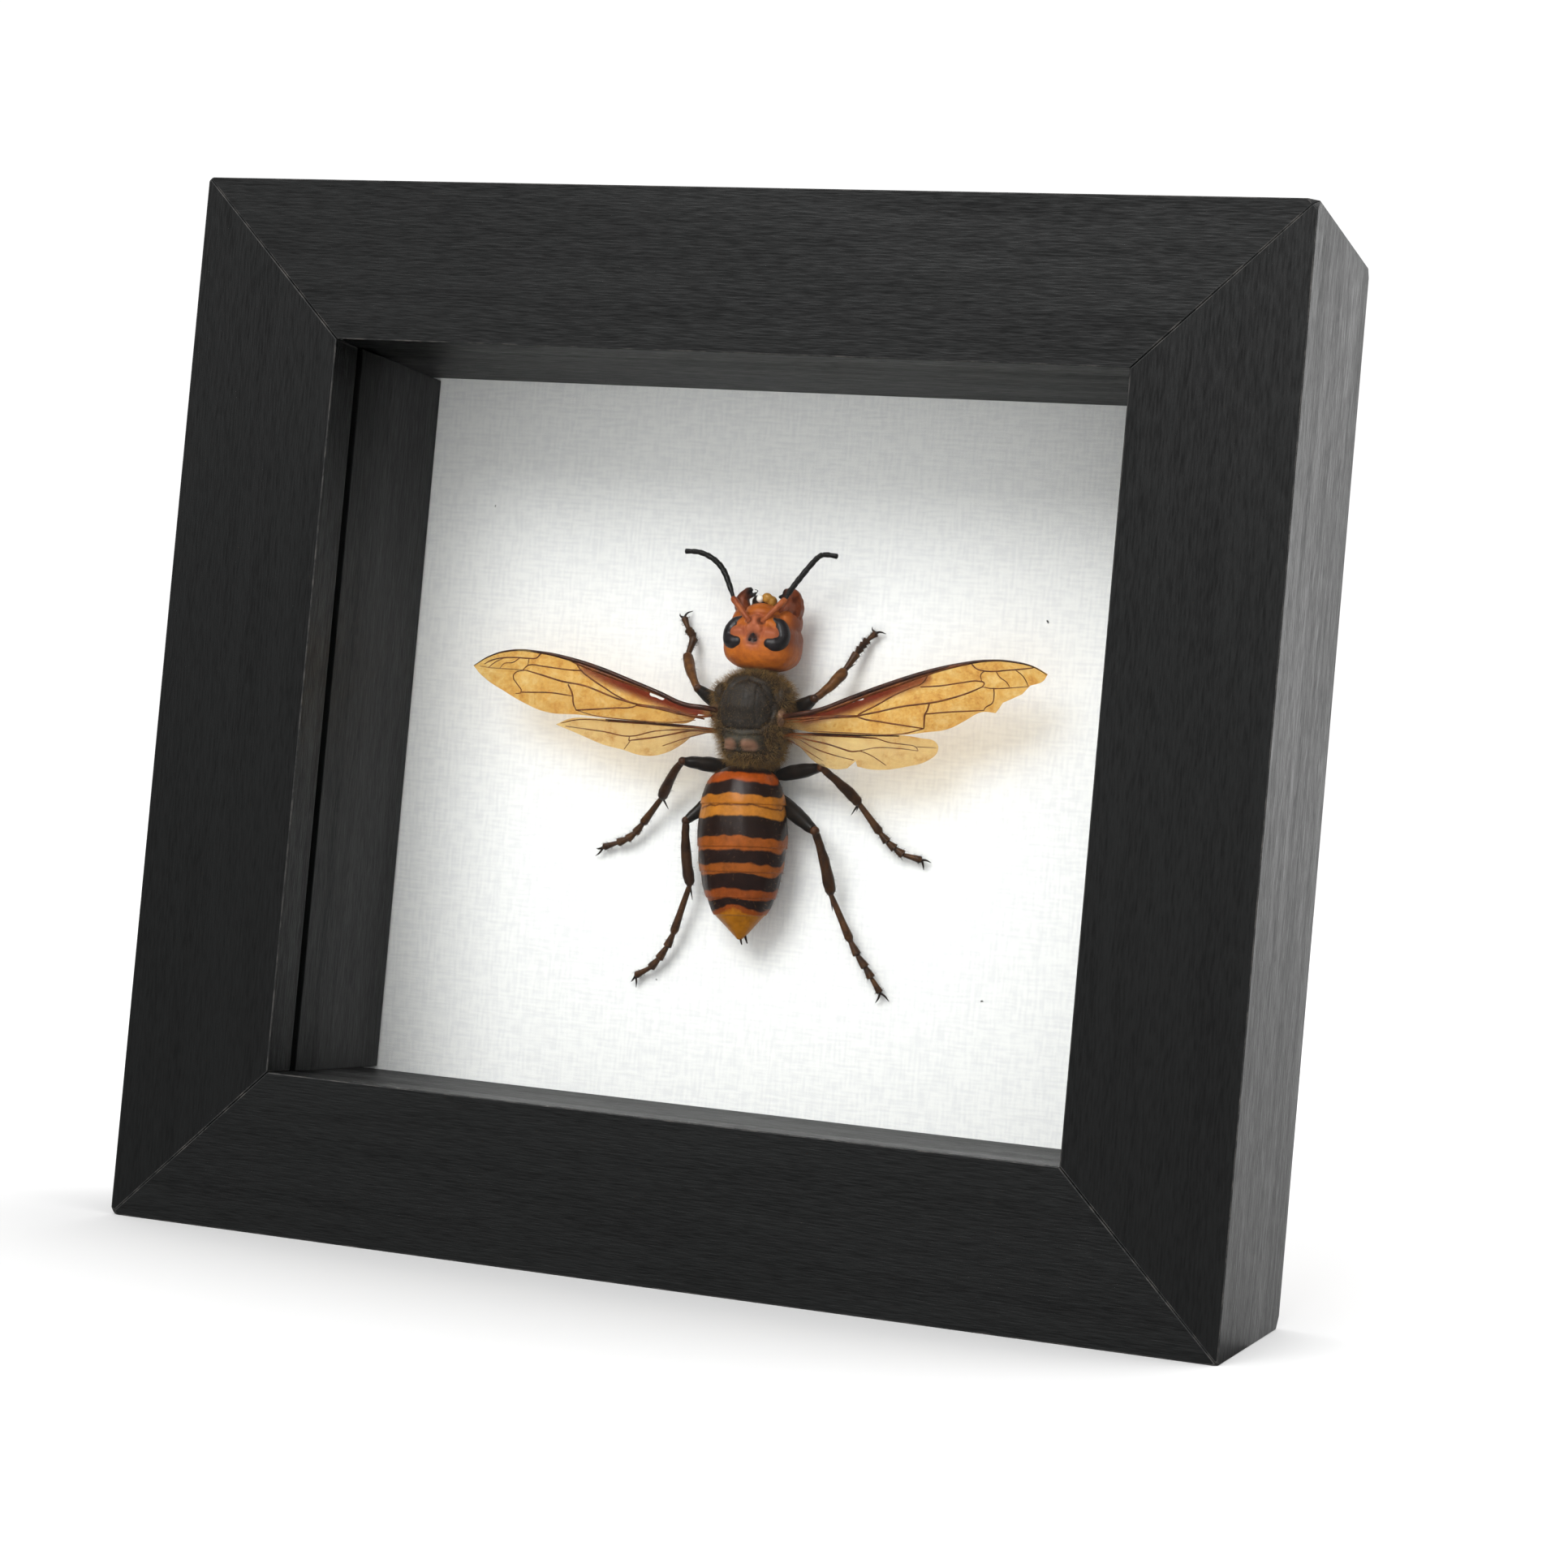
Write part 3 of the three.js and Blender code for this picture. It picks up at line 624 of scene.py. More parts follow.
def wing_membrane(name, pale, deep):
    """Wing membrane, dried thin as film: amber skin that lets most light through, cloudy and wrinkled, smoky
    near the body and stained red-brown behind its leading vein. Its palest patches are a painted sheen."""
    skin = new_material(name)
    place = in_mm(skin)
    clouds = add(skin, "TexNoise", {"Vector": place, "Scale": 0.5, "Detail": 6, "Roughness": 0.7})
    wrinkles = add(skin, "TexNoise", {"Vector": place, "Scale": 1.6, "Detail": 5, "Distortion": 1.6})
    cloudy = add(skin, "MixRGB", {"Fac": 0.3, "Color1": clouds, "Color2": wrinkles})
    # The palest stop is a painted sheen on the cloudy, wrinkled skin
    amber = add(skin, "ValToRGB", {"Fac": cloudy}, stops=[(0.3, deep), (0.47, pale), (0.72, "#f8e8ba")])
    stain = add(skin, "Attribute", attribute_name="stain").outputs["Fac"]
    shadow = add(skin, "Attribute", attribute_name="smoke").outputs["Fac"]
    smoky = add(skin, "MixRGB", {"Fac": shadow, "Color1": amber, "Color2": "#96602c"})
    paint = add(skin, "MixRGB", {"Fac": stain, "Color1": smoky, "Color2": "#9c4209"})
    bump = add(skin, "Bump", {"Height": wrinkles, "Strength": 0.8, "Distance": 0.15 * MM})
    cover = add(
        skin,
        "BsdfPrincipled",
        {"Base Color": paint, "Roughness": 0.32, "IOR": 1.56, "Specular IOR Level": 0.3, "Normal": bump},
    )
    # The skin scatters what it takes from a lamp, so its shadow is paler than its own colour
    lamp_ray = add(skin, "LightPath").outputs["Is Shadow Ray"]
    paleness = add(skin, "MapRange", {"Value": lamp_ray, "To Min": 0.08, "To Max": 0.65})
    tint = add(skin, "MixRGB", {"Fac": paleness, "Color1": paint, "Color2": "#ffffff"})
    clear = add(skin, "BsdfTransparent", {"Color": tint})
    both = add(skin, "MixShader", {0: 0.14, 1: clear, 2: cover})
    add(skin, "OutputMaterial", {"Surface": both})
    return skin


def plain_cuticle(name, shade, roughness=0.45):
    """A small dark or horny part, nearly of one colour, with fine pits."""
    return cuticle(name, shade, shade, roughness, pit=0.08, relief=0.01)


# Frame: black wood whose grain runs along each side, so level and upright sides have a wood each. The upright
# sides and strips are coloured a little darker than the level ones: painted shade
rail_wood = stained_wood(
    "black_stained_rail", "X", "#080909", "#181919", "#5a5b5b", roughness=0.5, relief=0.05
)
stile_wood = stained_wood(
    "black_stained_stile", "Z", "#070808", "#141515", "#5a5b5b", roughness=0.5, relief=0.05
)
level_strip_wood = stained_wood(
    "black_strip_level", "X", "#070808", "#101111", "#262727", roughness=0.55, relief=0.04
)
upright_strip_wood = stained_wood(
    "black_strip_upright", "Z", "#060707", "#0e0f0f", "#262727", roughness=0.55, relief=0.04
)
# Every rounded edge of the frame's sides is coloured a patchy, greyer black
pale_edge = patchy_wood("pale_black_edge", "#242525", "#4d4a47")
bare_wood = patchy_wood("bare_chipped_wood", "#6b5a48", "#a8937a")

float_glass = picture_glass()
card_stock = linen_card()
hardboard = fibre_board()
steel = sheet_steel()

# Head: orange and pinkish over the face, with painted shade: brown on its right side and left edge, and near
# black round the ocelli, the sockets and at its rear
head_shell = cuticle(
    "orange_cuticle",
    "#93480f",
    "#b66218",
    roughness=0.45,
    marks=[("pink", "#9a5236"), ("side_shade", "#733820"), ("dark", "#2c140b")],
)

# Eyes black, jaws red-brown with black teeth, antennae rusty at the root and black beyond
eye_shell = compound_eye()
jaw_shell = cuticle("jaw_cuticle", "#52230f", "#7e3c1a", roughness=0.4, marks=[("tip", "#120c0b")])
scape_shell = cuticle("antenna_root_cuticle", "#7a3518", "#9c5328", roughness=0.45)
flagellum_shell = plain_cuticle("antenna_cuticle", "#0f0c0a", roughness=0.5)

# Thorax: black-brown shield, dull gold under the hair, and two dull pink spots behind the shield
thorax_shell = cuticle(
    "black_cuticle",
    "#1d1813",
    "#2e2720",
    roughness=0.55,
    marks=[("fur", "#2c2011"), ("ridge", "#3b382d"), ("spots", "#86604c")],
    relief=0.03,
)
wing_scale_shell = cuticle("wing_scale_cuticle", "#3a2a20", "#6b4a36", roughness=0.42)
abdomen_shell = banded_cuticle()

# Legs: black at the thigh, browner and clearer towards the foot
thigh_shell = cuticle("thigh_cuticle", "#0a0705", "#1c140d", roughness=0.42)
shin_shell = cuticle("shin_cuticle", "#1f1108", "#41260f", roughness=0.42)
fore_shin_shell = cuticle("fore_shin_cuticle", "#3c210c", "#6b431b", roughness=0.42)
foot_shell = cuticle("foot_cuticle", "#291608", "#4f3012", roughness=0.45)
knee_shell = cuticle("knee_cuticle", "#24140a", "#4a2a12", roughness=0.42)
claw_shell = plain_cuticle("claw_cuticle", "#1d0f09", roughness=0.35)
dark_horn = plain_cuticle("dark_horn", "#241208", roughness=0.35)

# Wings: amber as thin horn, the hindwings paler, with brown veins and a darker leading vein
forewing_skin = wing_membrane("forewing_membrane", "#edcd86", "#d9a858")
hindwing_skin = wing_membrane("hindwing_membrane", "#f2ddae", "#e0bb7e")
vein_shell = cuticle("vein_cuticle", "#451f08", "#7a4214", roughness=0.42)
costa_shell = cuticle("leading_vein_cuticle", "#1f0f09", "#43200e", roughness=0.38)

# Hair and bristles, and what lies in the mouth and on the card
golden_hair = cuticle("golden_hair", "#6b4c26", "#a88550", roughness=0.5)
rusty_hair = cuticle("rusty_hair", "#8a5a22", "#b98a48", roughness=0.5)
black_bristle = plain_cuticle("black_bristle", "#150e0a", roughness=0.4)
white_bead_skin = plain_cuticle("white_bead", "#e6e2da", roughness=0.3)
tongue_skin = cuticle("tongue_membrane", "#8a5a1c", "#b98a3c", roughness=0.35)
dust = plain_cuticle("grey_dust", "#3c3a38", roughness=0.8)


# The frame


def frame_side(length):
    """One side of the frame along X, lying on its outer face, with its face towards the viewer."""
    half = length / 2
    side = block((-half, FRONT, 0), (half, LIP_REAR, MOULDING))
    only(side)
    bpy.ops.object.mode_set(mode="EDIT")
    bpy.ops.mesh.select_all(action="SELECT")
    bpy.ops.mesh.bisect(plane_co=(0, 0, RABBET_WALL), plane_no=(0, 0, 1))
    bpy.ops.object.mode_set(mode="OBJECT")
    select_faces(side, lambda centre, normal: normal.y > 0.9 and centre.z < RABBET_WALL)
    bpy.ops.mesh.extrude_region_move(TRANSFORM_OT_translate={"value": (0, BACK - LIP_REAR, 0)})
    bpy.ops.object.mode_set(mode="OBJECT")
    for end in (-1, 1):
        cut(side, (end * (half - MITRE_GAP), 0, 0), (end, 0, 1))
    return side


# A knocked corner: which way it lies from the frame's middle, and how much is gone, in millimetres
# The saw's plane lies CHIP_DEPTH times that far inside the corner.
CORNER_CHIPS = [
    ((1, -1, 1), 1.1), ((-1, -1, -1), 0.8), ((-1, -1, 1), 0.5),
    ((1, -1, -1), 0.5), ((1, 1, 1), 0.9), ((1, 1, -1), 1.3),
]
CHIP_DEPTH = 0.6
BARE_CORNER = (1, 1, -1)
PALE_EDGE_SLOT = 1
BARE_SLOT = 2


def add_frame():
    """The four sides of the frame with greyer, rounded edges and knocked corners."""
    centre = Vector((0, 0, HEIGHT / 2))
    sides = {
        "bottom_rail": (WIDTH, 0, (0, 0, 0), rail_wood),
        "top_rail": (WIDTH, math.pi, (0, 0, HEIGHT), rail_wood),
        "left_stile": (HEIGHT, math.pi / 2, (-WIDTH / 2, 0, HEIGHT / 2), stile_wood),
        "right_stile": (HEIGHT, -math.pi / 2, (WIDTH / 2, 0, HEIGHT / 2), stile_wood),
    }
    for name, (length, turn, place, wood) in sides.items():
        side = frame_side(length)
        side.data.transform(Matrix.Translation(place) @ Matrix.Rotation(turn, 4, "Y"))
        for slot_material in (wood, pale_edge, bare_wood):
            side.data.materials.append(slot_material)
        for way, gone in CORNER_CHIPS:
            corner = centre + Vector((way[0] * WIDTH, way[1] * (BACK - FRONT), way[2] * HEIGHT)) / 2
            across = Vector(way).normalized()
            cut(side, corner - across * gone * MM * CHIP_DEPTH, across)
            if way == BARE_CORNER:
                for face in side.data.polygons:
                    if face.normal.dot(across) > 0.99:
                        face.material_index = BARE_SLOT
        keep_flat(side, EDGE_ROUNDING, material=PALE_EDGE_SLOT)
        finish_piece(side, name + "_wood", None, ["frame_" + name], Matrix(), None)


def cleaned_copy(node):
    """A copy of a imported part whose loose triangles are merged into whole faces."""
    piece = copy_of(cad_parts[node])
    piece.parent = None
    for key in list(piece.keys()):
        del piece[key]
    weld(piece, 0.01 * MM)
    only(piece)
    bpy.ops.object.mode_set(mode="EDIT")
    bpy.ops.mesh.select_all(action="SELECT")
    bpy.ops.mesh.dissolve_limited()
    bpy.ops.object.mode_set(mode="OBJECT")
    return piece


CARD_CUTS = 40


def add_inner_parts():
    """The pane, the strips that line the box, the card and the board behind it."""
    soft_edged = [
        ("glass_pane", "glass_sheet", float_glass, "clear_glass", 0.12),
        ("spacer_top", "top_strip", level_strip_wood, "black_spacer", 0.15),
        ("spacer_bottom", "bottom_strip", level_strip_wood, "black_spacer", 0.15),
        ("spacer_left", "left_strip", upright_strip_wood, "black_spacer", 0.15),
        ("spacer_right", "right_strip", upright_strip_wood, "black_spacer", 0.15),
        ("back_board", "board_sheet", hardboard, "hardboard", 0.2),
    ]
    for node, name, material, slot, rounding in soft_edged:
        sheet = cleaned_copy(node)
        keep_flat(sheet, rounding * MM)
        finish_piece(sheet, name, [material], [node], Matrix(), None)

    card = cleaned_copy("backing_card")
    only(card)
    bpy.ops.object.mode_set(mode="EDIT")
    bpy.ops.mesh.select_all(action="SELECT")
    bpy.ops.mesh.subdivide(number_cuts=CARD_CUTS)
    bpy.ops.object.mode_set(mode="OBJECT")
    finish_piece(card, "linen_card", [card_stock], ["backing_card"], Matrix(), None)


# A framer's point: the width left at its buried end, and the rim, dish and rounding of its rear face
POINT_END = 0.25
POINT_RIM = 1.1 * MM
POINT_DISH = 0.12 * MM
POINT_ROUNDING = 0.08 * MM


def add_framers_points():
    """Flat steel points, pressed half into the rabbet's wall, with a sharp buried end."""
    for side in ("bottom", "top", "left", "right"):
        node = "framers_point_" + side
        low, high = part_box(node)
        point = block(low, high)
        middle = (low + high) / 2
        inward = (Vector((0, middle.y, HEIGHT / 2)) - middle).normalized()
        select_faces(point, lambda _, normal: normal.dot(inward) < -0.9)
        bpy.ops.transform.resize(value=(POINT_END, 1, 1) if abs(inward.z) > 0.5 else (1, 1, POINT_END))
        bpy.ops.object.mode_set(mode="OBJECT")
        select_faces(point, lambda _, normal: normal.y > 0.9)
        bpy.ops.mesh.inset(thickness=POINT_RIM, depth=0)
        bpy.ops.transform.translate(value=(0, -POINT_DISH, 0))
        bpy.ops.object.mode_set(mode="OBJECT")
        keep_flat(point, POINT_ROUNDING)
        finish_piece(point, side + "_steel_point", [steel], [node], Matrix(), None)


# The head


# One eye's middle line beside the head's middle, from the antenna round the notch: x, y, half width
EYE_LINE = [
    (2.15, 11.45, 0.55), (2.85, 10.95, 0.8), (3.35, 10.2, 0.85), (3.5, 9.4, 0.8), (3.15, 8.75, 0.85),
    (2.5, 8.55, 0.85), (2.0, 8.65, 0.7),
]
# The middles of the three simple eyes and of the two antennae's sockets
OCELLI = [(-0.35, 9.5), (-0.7, 8.9), (0.02, 8.9)]
SOCKETS = [(-1.15, 11.15), (0.45, 11.15)]


EYE_DEPTH = 0.5
EYE_SWELL = 0.08


def add_head():
    """Skull, face shield and cheeks grown into one, with its grooves and sockets, eyes and ocelli."""
    skull = fuse(
        [
            boxy_ball((HEAD_X, 8.7, 4.9), (4.4, 3.1, 4.0), 0.74),
            ball((HEAD_X, 10.2, 5.2), (4.1, 2.4, 3.7)),
            ball((HEAD_X, 10.6, 7.2), (1.5, 1.5, 1.7)),
            ball((HEAD_X, 12.1, 6.1), (2.1, 1.25, 1.75)),
            ball((HEAD_X - 2.6, 11.4, 4.6), (1.4, 1.5, 2.1)),
            ball((HEAD_X + 2.8, 11.4, 4.6), (1.5, 1.8, 2.3)),
        ],
        voxel=0.09,
        smoothing=8,
    )
    # The face shield's ridges run from the sockets into the notch of each eye
    press(skull, [(HEAD_X, 11.6), (HEAD_X, 10.4)], 0.5, -0.16)
    press(skull, [(HEAD_X, 10.3), (HEAD_X, 9.9)], 0.3, 0.1)
    for side in (-1, 1):
        press(skull, [(HEAD_X + side * 0.55, 10.9), (HEAD_X + side * 0.75, 10)], 0.2, -0.12)
        groove = [(HEAD_X + side * 1.15, 10.9), (HEAD_X + side * 1.2, 10.1), (HEAD_X + side * 0.9, 9.3)]
        press(skull, groove, 0.2, 0.2)
        press(skull, [(HEAD_X + side * 1.5, 9.9), (HEAD_X + side * 2.5, 9.8)], 0.4, -0.24)
        press(skull, [(HEAD_X + side * 1.6, 10.9), (HEAD_X + side * 2.2, 10.5)], 0.25, 0.16)
        press(skull, [(HEAD_X + side * 1.5, 11.9), (HEAD_X + side * 2.1, 12.7)], 0.18, 0.2)
    for socket in SOCKETS:
        press(skull, [socket], 0.38, 0.4)
    press(skull, [(HEAD_X - 1.4, 11.85), (HEAD_X, 12.0), (HEAD_X + 1.4, 11.85)], 0.16, 0.2)
    press(skull, [(HEAD_X, 9.1)], 0.62, 0.16)
    press(skull, [(HEAD_X - 0.6, 8.35), (HEAD_X + 0.6, 8.35)], 0.12, 0.05)
    press(skull, [(HEAD_X + 0.05, 8.2), (HEAD_X, 6.3)], 0.2, 0.04)
    roughen(skull, 1.1, 0.05, seed=1)
    roughen(skull, 0.3, 0.02, seed=2)

    eyes = []
    for side in (-1, 1):
        line = [on_skin(skull, HEAD_X + side * x, y, EYE_DEPTH) for x, y, _ in EYE_LINE]
        widths = [width + EYE_SWELL for *_, width in EYE_LINE]
        ends = [ball(line[i], (widths[i] * 0.97,) * 3, 20, 14) for i in (0, -1)]
        eyes.append(fuse([rod(line, widths, steps=8, rounding=5), *ends], voxel=0.08, smoothing=6))
    ocelli = join([ball(on_skin(skull, x, y, 0.02), (0.2, 0.2, 0.17), 16, 10) for x, y in OCELLI])

    places = corners_of(skull)
    shield = [(HEAD_X, 11.4), (HEAD_X, 8.9)]
    brow = [(HEAD_X - 2.6, 9.85), (HEAD_X, 9.9), (HEAD_X + 2.6, 9.85)]
    facing_up = np.clip((places[:, 2] - 6) / 1.2, 0, 1)
    pink = np.maximum(1.8 - distance_to(places, shield) / 0.75, 1.7 - distance_to(places, brow) / 0.55)
    mark(skull, "pink", np.clip(pink, 0, 1) * facing_up * 0.85)
    # Painted shade: the head's right side and its left edge are darkened towards brown
    side_shade = np.clip((places[:, 0] - 2.6) / 1.0, 0, 1) * np.clip((places[:, 1] - 7.4) / 1.6, 0, 1)
    left_edge_shade = np.clip((-4.2 - places[:, 0]) / 0.6, 0, 1) * 0.7
    mark(skull, "side_shade", np.maximum(side_shade * 0.85, left_edge_shade))
    # Painted shade: near black in the pits round the ocelli and the sockets, and at the head's rear where it
    # meets the thorax
    sockets = np.minimum.reduce([distance_to(places, [socket]) for socket in SOCKETS])
    ocelli_pit = distance_to(places, [(HEAD_X + 0.03, 9.1)])
    rear = np.clip((6.0 - places[:, 1]) / 0.4, 0, 1)
    dark = np.maximum(1.1 - ocelli_pit / 0.85, 1 - sockets / 0.55)
    mark(skull, "dark", np.maximum(np.clip(dark * 1.6, 0, 1) * facing_up, rear * 0.6))
    finish_piece(skull, "head_capsule", [head_shell], ["hornet_head"])
    for name, eye in zip(("left_eye", "right_eye"), eyes):
        finish_piece(eye, name, [eye_shell], ["hornet_head"])
    finish_piece(ocelli, "ocelli", [eye_shell], ["hornet_head"])


def add_mouth():
    """Both jaws with their black teeth, and what shows between them: tongue, bead and a dark lump that is
    partly the mouth parts and partly painted shade in the mouth's hollow.
    """
    left = fuse(
        [
            rod(
                [(-2.7, 11.9, 4.9), (-3.35, 13.2, 4.8), (-3.1, 14.4, 4.6), (-2.4, 15.1, 4.5)],
                [1, 0.95, 0.65, 0.25],
                6,
                4,
            ),
            rod([(-3, 14.1, 4.6), (-2.2, 14.4, 4.6), (-1.8, 14.7, 4.6)], [0.45, 0.28, 0.12], 4, 3),
            ball((-2.9, 12.2, 4.9), (1, 1, 1.1)),
        ],
        voxel=0.08,
        smoothing=3,
    )
    right = fuse(
        [
            rod(
                [(2.4, 11.7, 5), (2.85, 13.4, 4.8), (2.6, 14.6, 4.7), (1.5, 15, 4.6)],
                [1.45, 1.3, 0.8, 0.35],
                6,
                4,
            ),
            rod([(2.5, 14.1, 4.7), (1.5, 14.3, 4.7), (0.9, 14.3, 4.7)], [0.55, 0.4, 0.15], 4, 3),
            ball((2.3, 12.2, 4.9), (1.35, 1.2, 1.4)),
        ],
        voxel=0.08,
        smoothing=3,
    )
    for jaw, name, tip in ((left, "left_jaw", (-2, 14.9)), (right, "right_jaw", (0.9, 14.8))):
        roughen(jaw, 0.7, 0.1, seed=3)
        places = corners_of(jaw)
        mark(jaw, "tip", 1.7 - distance_to(places, [tip]) / 0.95)
        finish_piece(jaw, name, [jaw_shell], ["hornet_head"])

    # The dark brown lump in the mouth's hollow is partly the mouth parts and partly painted shade
    gape = fuse(
        [ball((HEAD_X, 12.7, 4.7), (2.1, 1.1, 1.7)), ball((HEAD_X - 1.2, 13.6, 4.6), (0.7, 0.8, 0.8))],
        voxel=0.12,
    )
    finish_piece(gape, "mouth_cavity", [dark_horn], ["hornet_head"])
    lobes = [ball((-0.05, 14, 5.9), (0.65, 0.6, 0.5)), ball((0.5, 13.6, 5.6), (0.6, 0.7, 0.6))]
    tongue = fuse(lobes, voxel=0.08)
    finish_piece(tongue, "tongue", [tongue_skin], ["hornet_head"])
    bead = ball((-0.85, 13.85, 6.1), (0.42, 0.47, 0.38), 20, 14)
    roughen(bead, 0.4, 0.06, seed=4)
    finish_piece(bead, "white_bead", [white_bead_skin], ["hornet_head"])
    wisps = join(
        [
            rod(
                [(-1.2, 13.9, 6), (-1.5, 14.4, 6), (-1.25, 14.7, 5.9), (-1.7, 14.9, 5.7)],
                [0.06, 0.05, 0.05, 0.03],
            ),
            rod([(-1.9, 14.2, 5.4), (-1.5, 13.9, 5.6), (-1.7, 13.5, 5.7)], [0.07, 0.06, 0.04]),
        ]
    )
    finish_piece(wisps, "mouth_bristles", [black_bristle], ["hornet_head"])


# Each antenna: the root joint's two ends, then the bends of the whip
ANTENNAE = {
    "antenna_left": [
        (-1.2, 11.1, 8.1), (-3.5, 13.5, 7.5), (-4.45, 15.3, 7), (-5.45, 16.9, 6.6), (-6.9, 18.1, 6.2),
        (-8.75, 18.8, 6), (-10.5, 18.8, 6),
    ],
    "antenna_right": [
        (0.5, 11.2, 8.1), (2.6, 13.7, 7.5), (3.25, 15.1, 7.2), (4.05, 16.5, 6.8), (5.3, 18.4, 6.4),
        (6.25, 19.3, 6.2), (8, 19.2, 6),
    ],
}
WHIP_RINGS = 10
WHIP_RADIUS = 0.37


def add_antennae():
    """Each antenna: a long root joint, a small pivot joint, and a whip of ten ringed joints."""
    for name, points in ANTENNAE.items():
        root, elbow = Vector(points[0]), Vector(points[1])
        arm = rod([root, root.lerp(elbow, 0.5), elbow], [0.32, 0.35, 0.4], 4, 3)
        pivot = ball(elbow, (0.36, 0.36, 0.34), 16, 10)
        scape = join([arm, pivot, ball(root, (0.36, 0.36, 0.3), 16, 10)])
        finish_piece(scape, name + "_root", [scape_shell], [name])

        path = smooth_path(points[1:], 8)
        rings = []
        for ring in range(WHIP_RINGS):
            start = path[ring * (len(path) - 1) // WHIP_RINGS]
            end = path[(ring + 1) * (len(path) - 1) // WHIP_RINGS]
            body = WHIP_RADIUS - 0.1 * abs(ring / (WHIP_RINGS - 1) - 0.35)
            body *= 0.72 if ring == 0 else 1
            tip = 0.55 if ring == WHIP_RINGS - 1 else 0.86
            spots = [start, *(start.lerp(end, share) for share in (0.15, 0.6, 0.93, 1.03))]
            rings.append(rod(spots, [body * share for share in (0.8, 0.9, 1, 1, tip)], 2, 3))
        whip = join(rings)
        finish_piece(whip, name + "_whip", [flagellum_shell], [name], smooth_angle=60)


# The thorax

# The raised back shield's edge, seen from above
SHIELD = [
    (-0.4, 4.6), (-1.7, 4.1), (-3, 2.5), (-3.7, 0.7), (-3.5, -0.8), (-2.6, -1.4), (-0.5, -1.5),
    (1.6, -1.3), (2.6, -0.3), (2.8, 1.1), (2.1, 2.9), (1.1, 4.1), (-0.4, 4.6),
]
# The two pink swellings behind the shield
SCUTELLUM_SPOTS = [[(-2.3, -3.2), (-1.7, -3.1)], [(0.1, -3.1), (0.8, -3.1)]]


def inside_shield(places, slack=0.0):
    """1 on the shield, 0 beside it, seen from above."""
    share = np.hypot((places[:, 0] + 0.45) / (3.25 + slack), (places[:, 1] - 1.5) / (3.1 + slack))
    return np.clip((1.08 - share) / 0.1, 0, 1)


def add_thorax():
    """The thorax with its shield, scutellum, wing scales and side plates, and the hair around them."""
    trunk = fuse(
        [
            ball((THORAX_X, 0.2, 5.2), (4.5, 4.9, 4.7)),
            ball((THORAX_X, 3.9, 5.4), (3.5, 1.6, 3.6)),
            ball((THORAX_X, 1.5, 7.6), (3.3, 3.4, 2.7)),
            ball((THORAX_X, -2.3, 7.4), (2.6, 1.6, 2.2)),
            ball((THORAX_X, -3.2, 4.9), (3.6, 2.4, 4.1)),
            ball((THORAX_X, 5.7, 5), (1.7, 0.8, 1.8)),
            ball((THORAX_X - 3.7, 2.6, 6), (1, 1.5, 1.8)),
            ball((THORAX_X + 3.6, 2.7, 6), (1.1, 1.6, 1.8)),
        ],
        voxel=0.1,
    )
    press(trunk, SHIELD, 0.2, 0.22)
    press(trunk, [(-0.5, 4.4), (-0.5, 0.6)], 0.12, -0.07)
    for side in (-1, 1):
        press(trunk, [(THORAX_X + side * 1.5, 3.6), (THORAX_X + side * 1.7, -0.6)], 0.14, 0.06)
        press(trunk, [(THORAX_X + side * 2.9, -2.3), (THORAX_X + side * 2.6, -4.2)], 0.25, 0.2)
    press(trunk, [(-2.7, -1.9), (-0.5, -2.2), (1.7, -1.9)], 0.2, 0.2)
    press(trunk, [(-0.5, -2.4), (-0.5, -4)], 0.16, 0.12)
    press(trunk, [(-2.8, -3.9), (-0.5, -4.2), (1.8, -3.9)], 0.2, 0.22)
    for path in SCUTELLUM_SPOTS:
        press(trunk, path, 0.55, -0.16)
    roughen(trunk, 1.1, 0.1, seed=5)
    roughen(trunk, 0.25, 0.025, seed=6)
    places = corners_of(trunk)
    on_top = np.clip((places[:, 2] - 7) / 0.8, 0, 1)
    shield = inside_shield(places) * on_top
    scutellum = np.clip(1.6 - distance_to(places, [(-1.8, -2.6), (0.8, -2.6)]) / 0.9, 0, 1) * on_top
    mark(trunk, "fur", (1 - np.maximum(shield, scutellum)) * 0.8)
    spots = np.minimum.reduce([distance_to(places, path) for path in SCUTELLUM_SPOTS])
    mark(trunk, "spots", np.clip(1.6 - spots / 0.5, 0, 1) * on_top * 0.85)
    mark(trunk, "ridge", scutellum * 0.7)

    def furry(root, _):
        at = np.array([root])
        covered = inside_shield(at, 0.1)[0] if root.z > 7 else 0
        bare_tail = root.z > 7.5 and -3.9 < root.y < -1.4 and abs(root.x - THORAX_X) < 2.4
        under = root.z < 1.5
        return 0 if covered > 0.3 or bare_tail or under else 1

    def on_back(root, _):
        return 1 if root.z > 7.5 else 0

    hairs = grow_hairs(
        trunk,
        count=9500,
        length=1.15,
        thickness=0.011,
        lean=(0, -0.45, 0.25),
        wanted=furry,
        seed=11,
        spread=0.5,
    )
    short = grow_hairs(
        trunk, count=1500, length=0.28, thickness=0.01, lean=(0, -0.9, 0), wanted=on_back, seed=12
    )
    finish_piece(trunk, "thorax", [thorax_shell], ["hornet_thorax"])
    finish_piece(hairs, "thorax_hair", [golden_hair], ["hornet_thorax"])
    finish_piece(short, "shield_down", [golden_hair], ["hornet_thorax"])

    for side, name in ((-1, "left"), (1, "right")):
        scale = ball((THORAX_X + side * 3.75, 0.35, 7.25), (0.92, 1.1, 0.75))
        select_faces(scale, lambda _, normal: normal.z > 0.55)
        bpy.ops.mesh.inset(thickness=0.16, depth=-0.06)
        bpy.ops.object.mode_set(mode="OBJECT")
        modify(scale, "SUBSURF", levels=1, render_levels=1)
        finish_piece(scale, name + "_wing_scale", [wing_scale_shell], ["hornet_thorax"])


# The abdomen

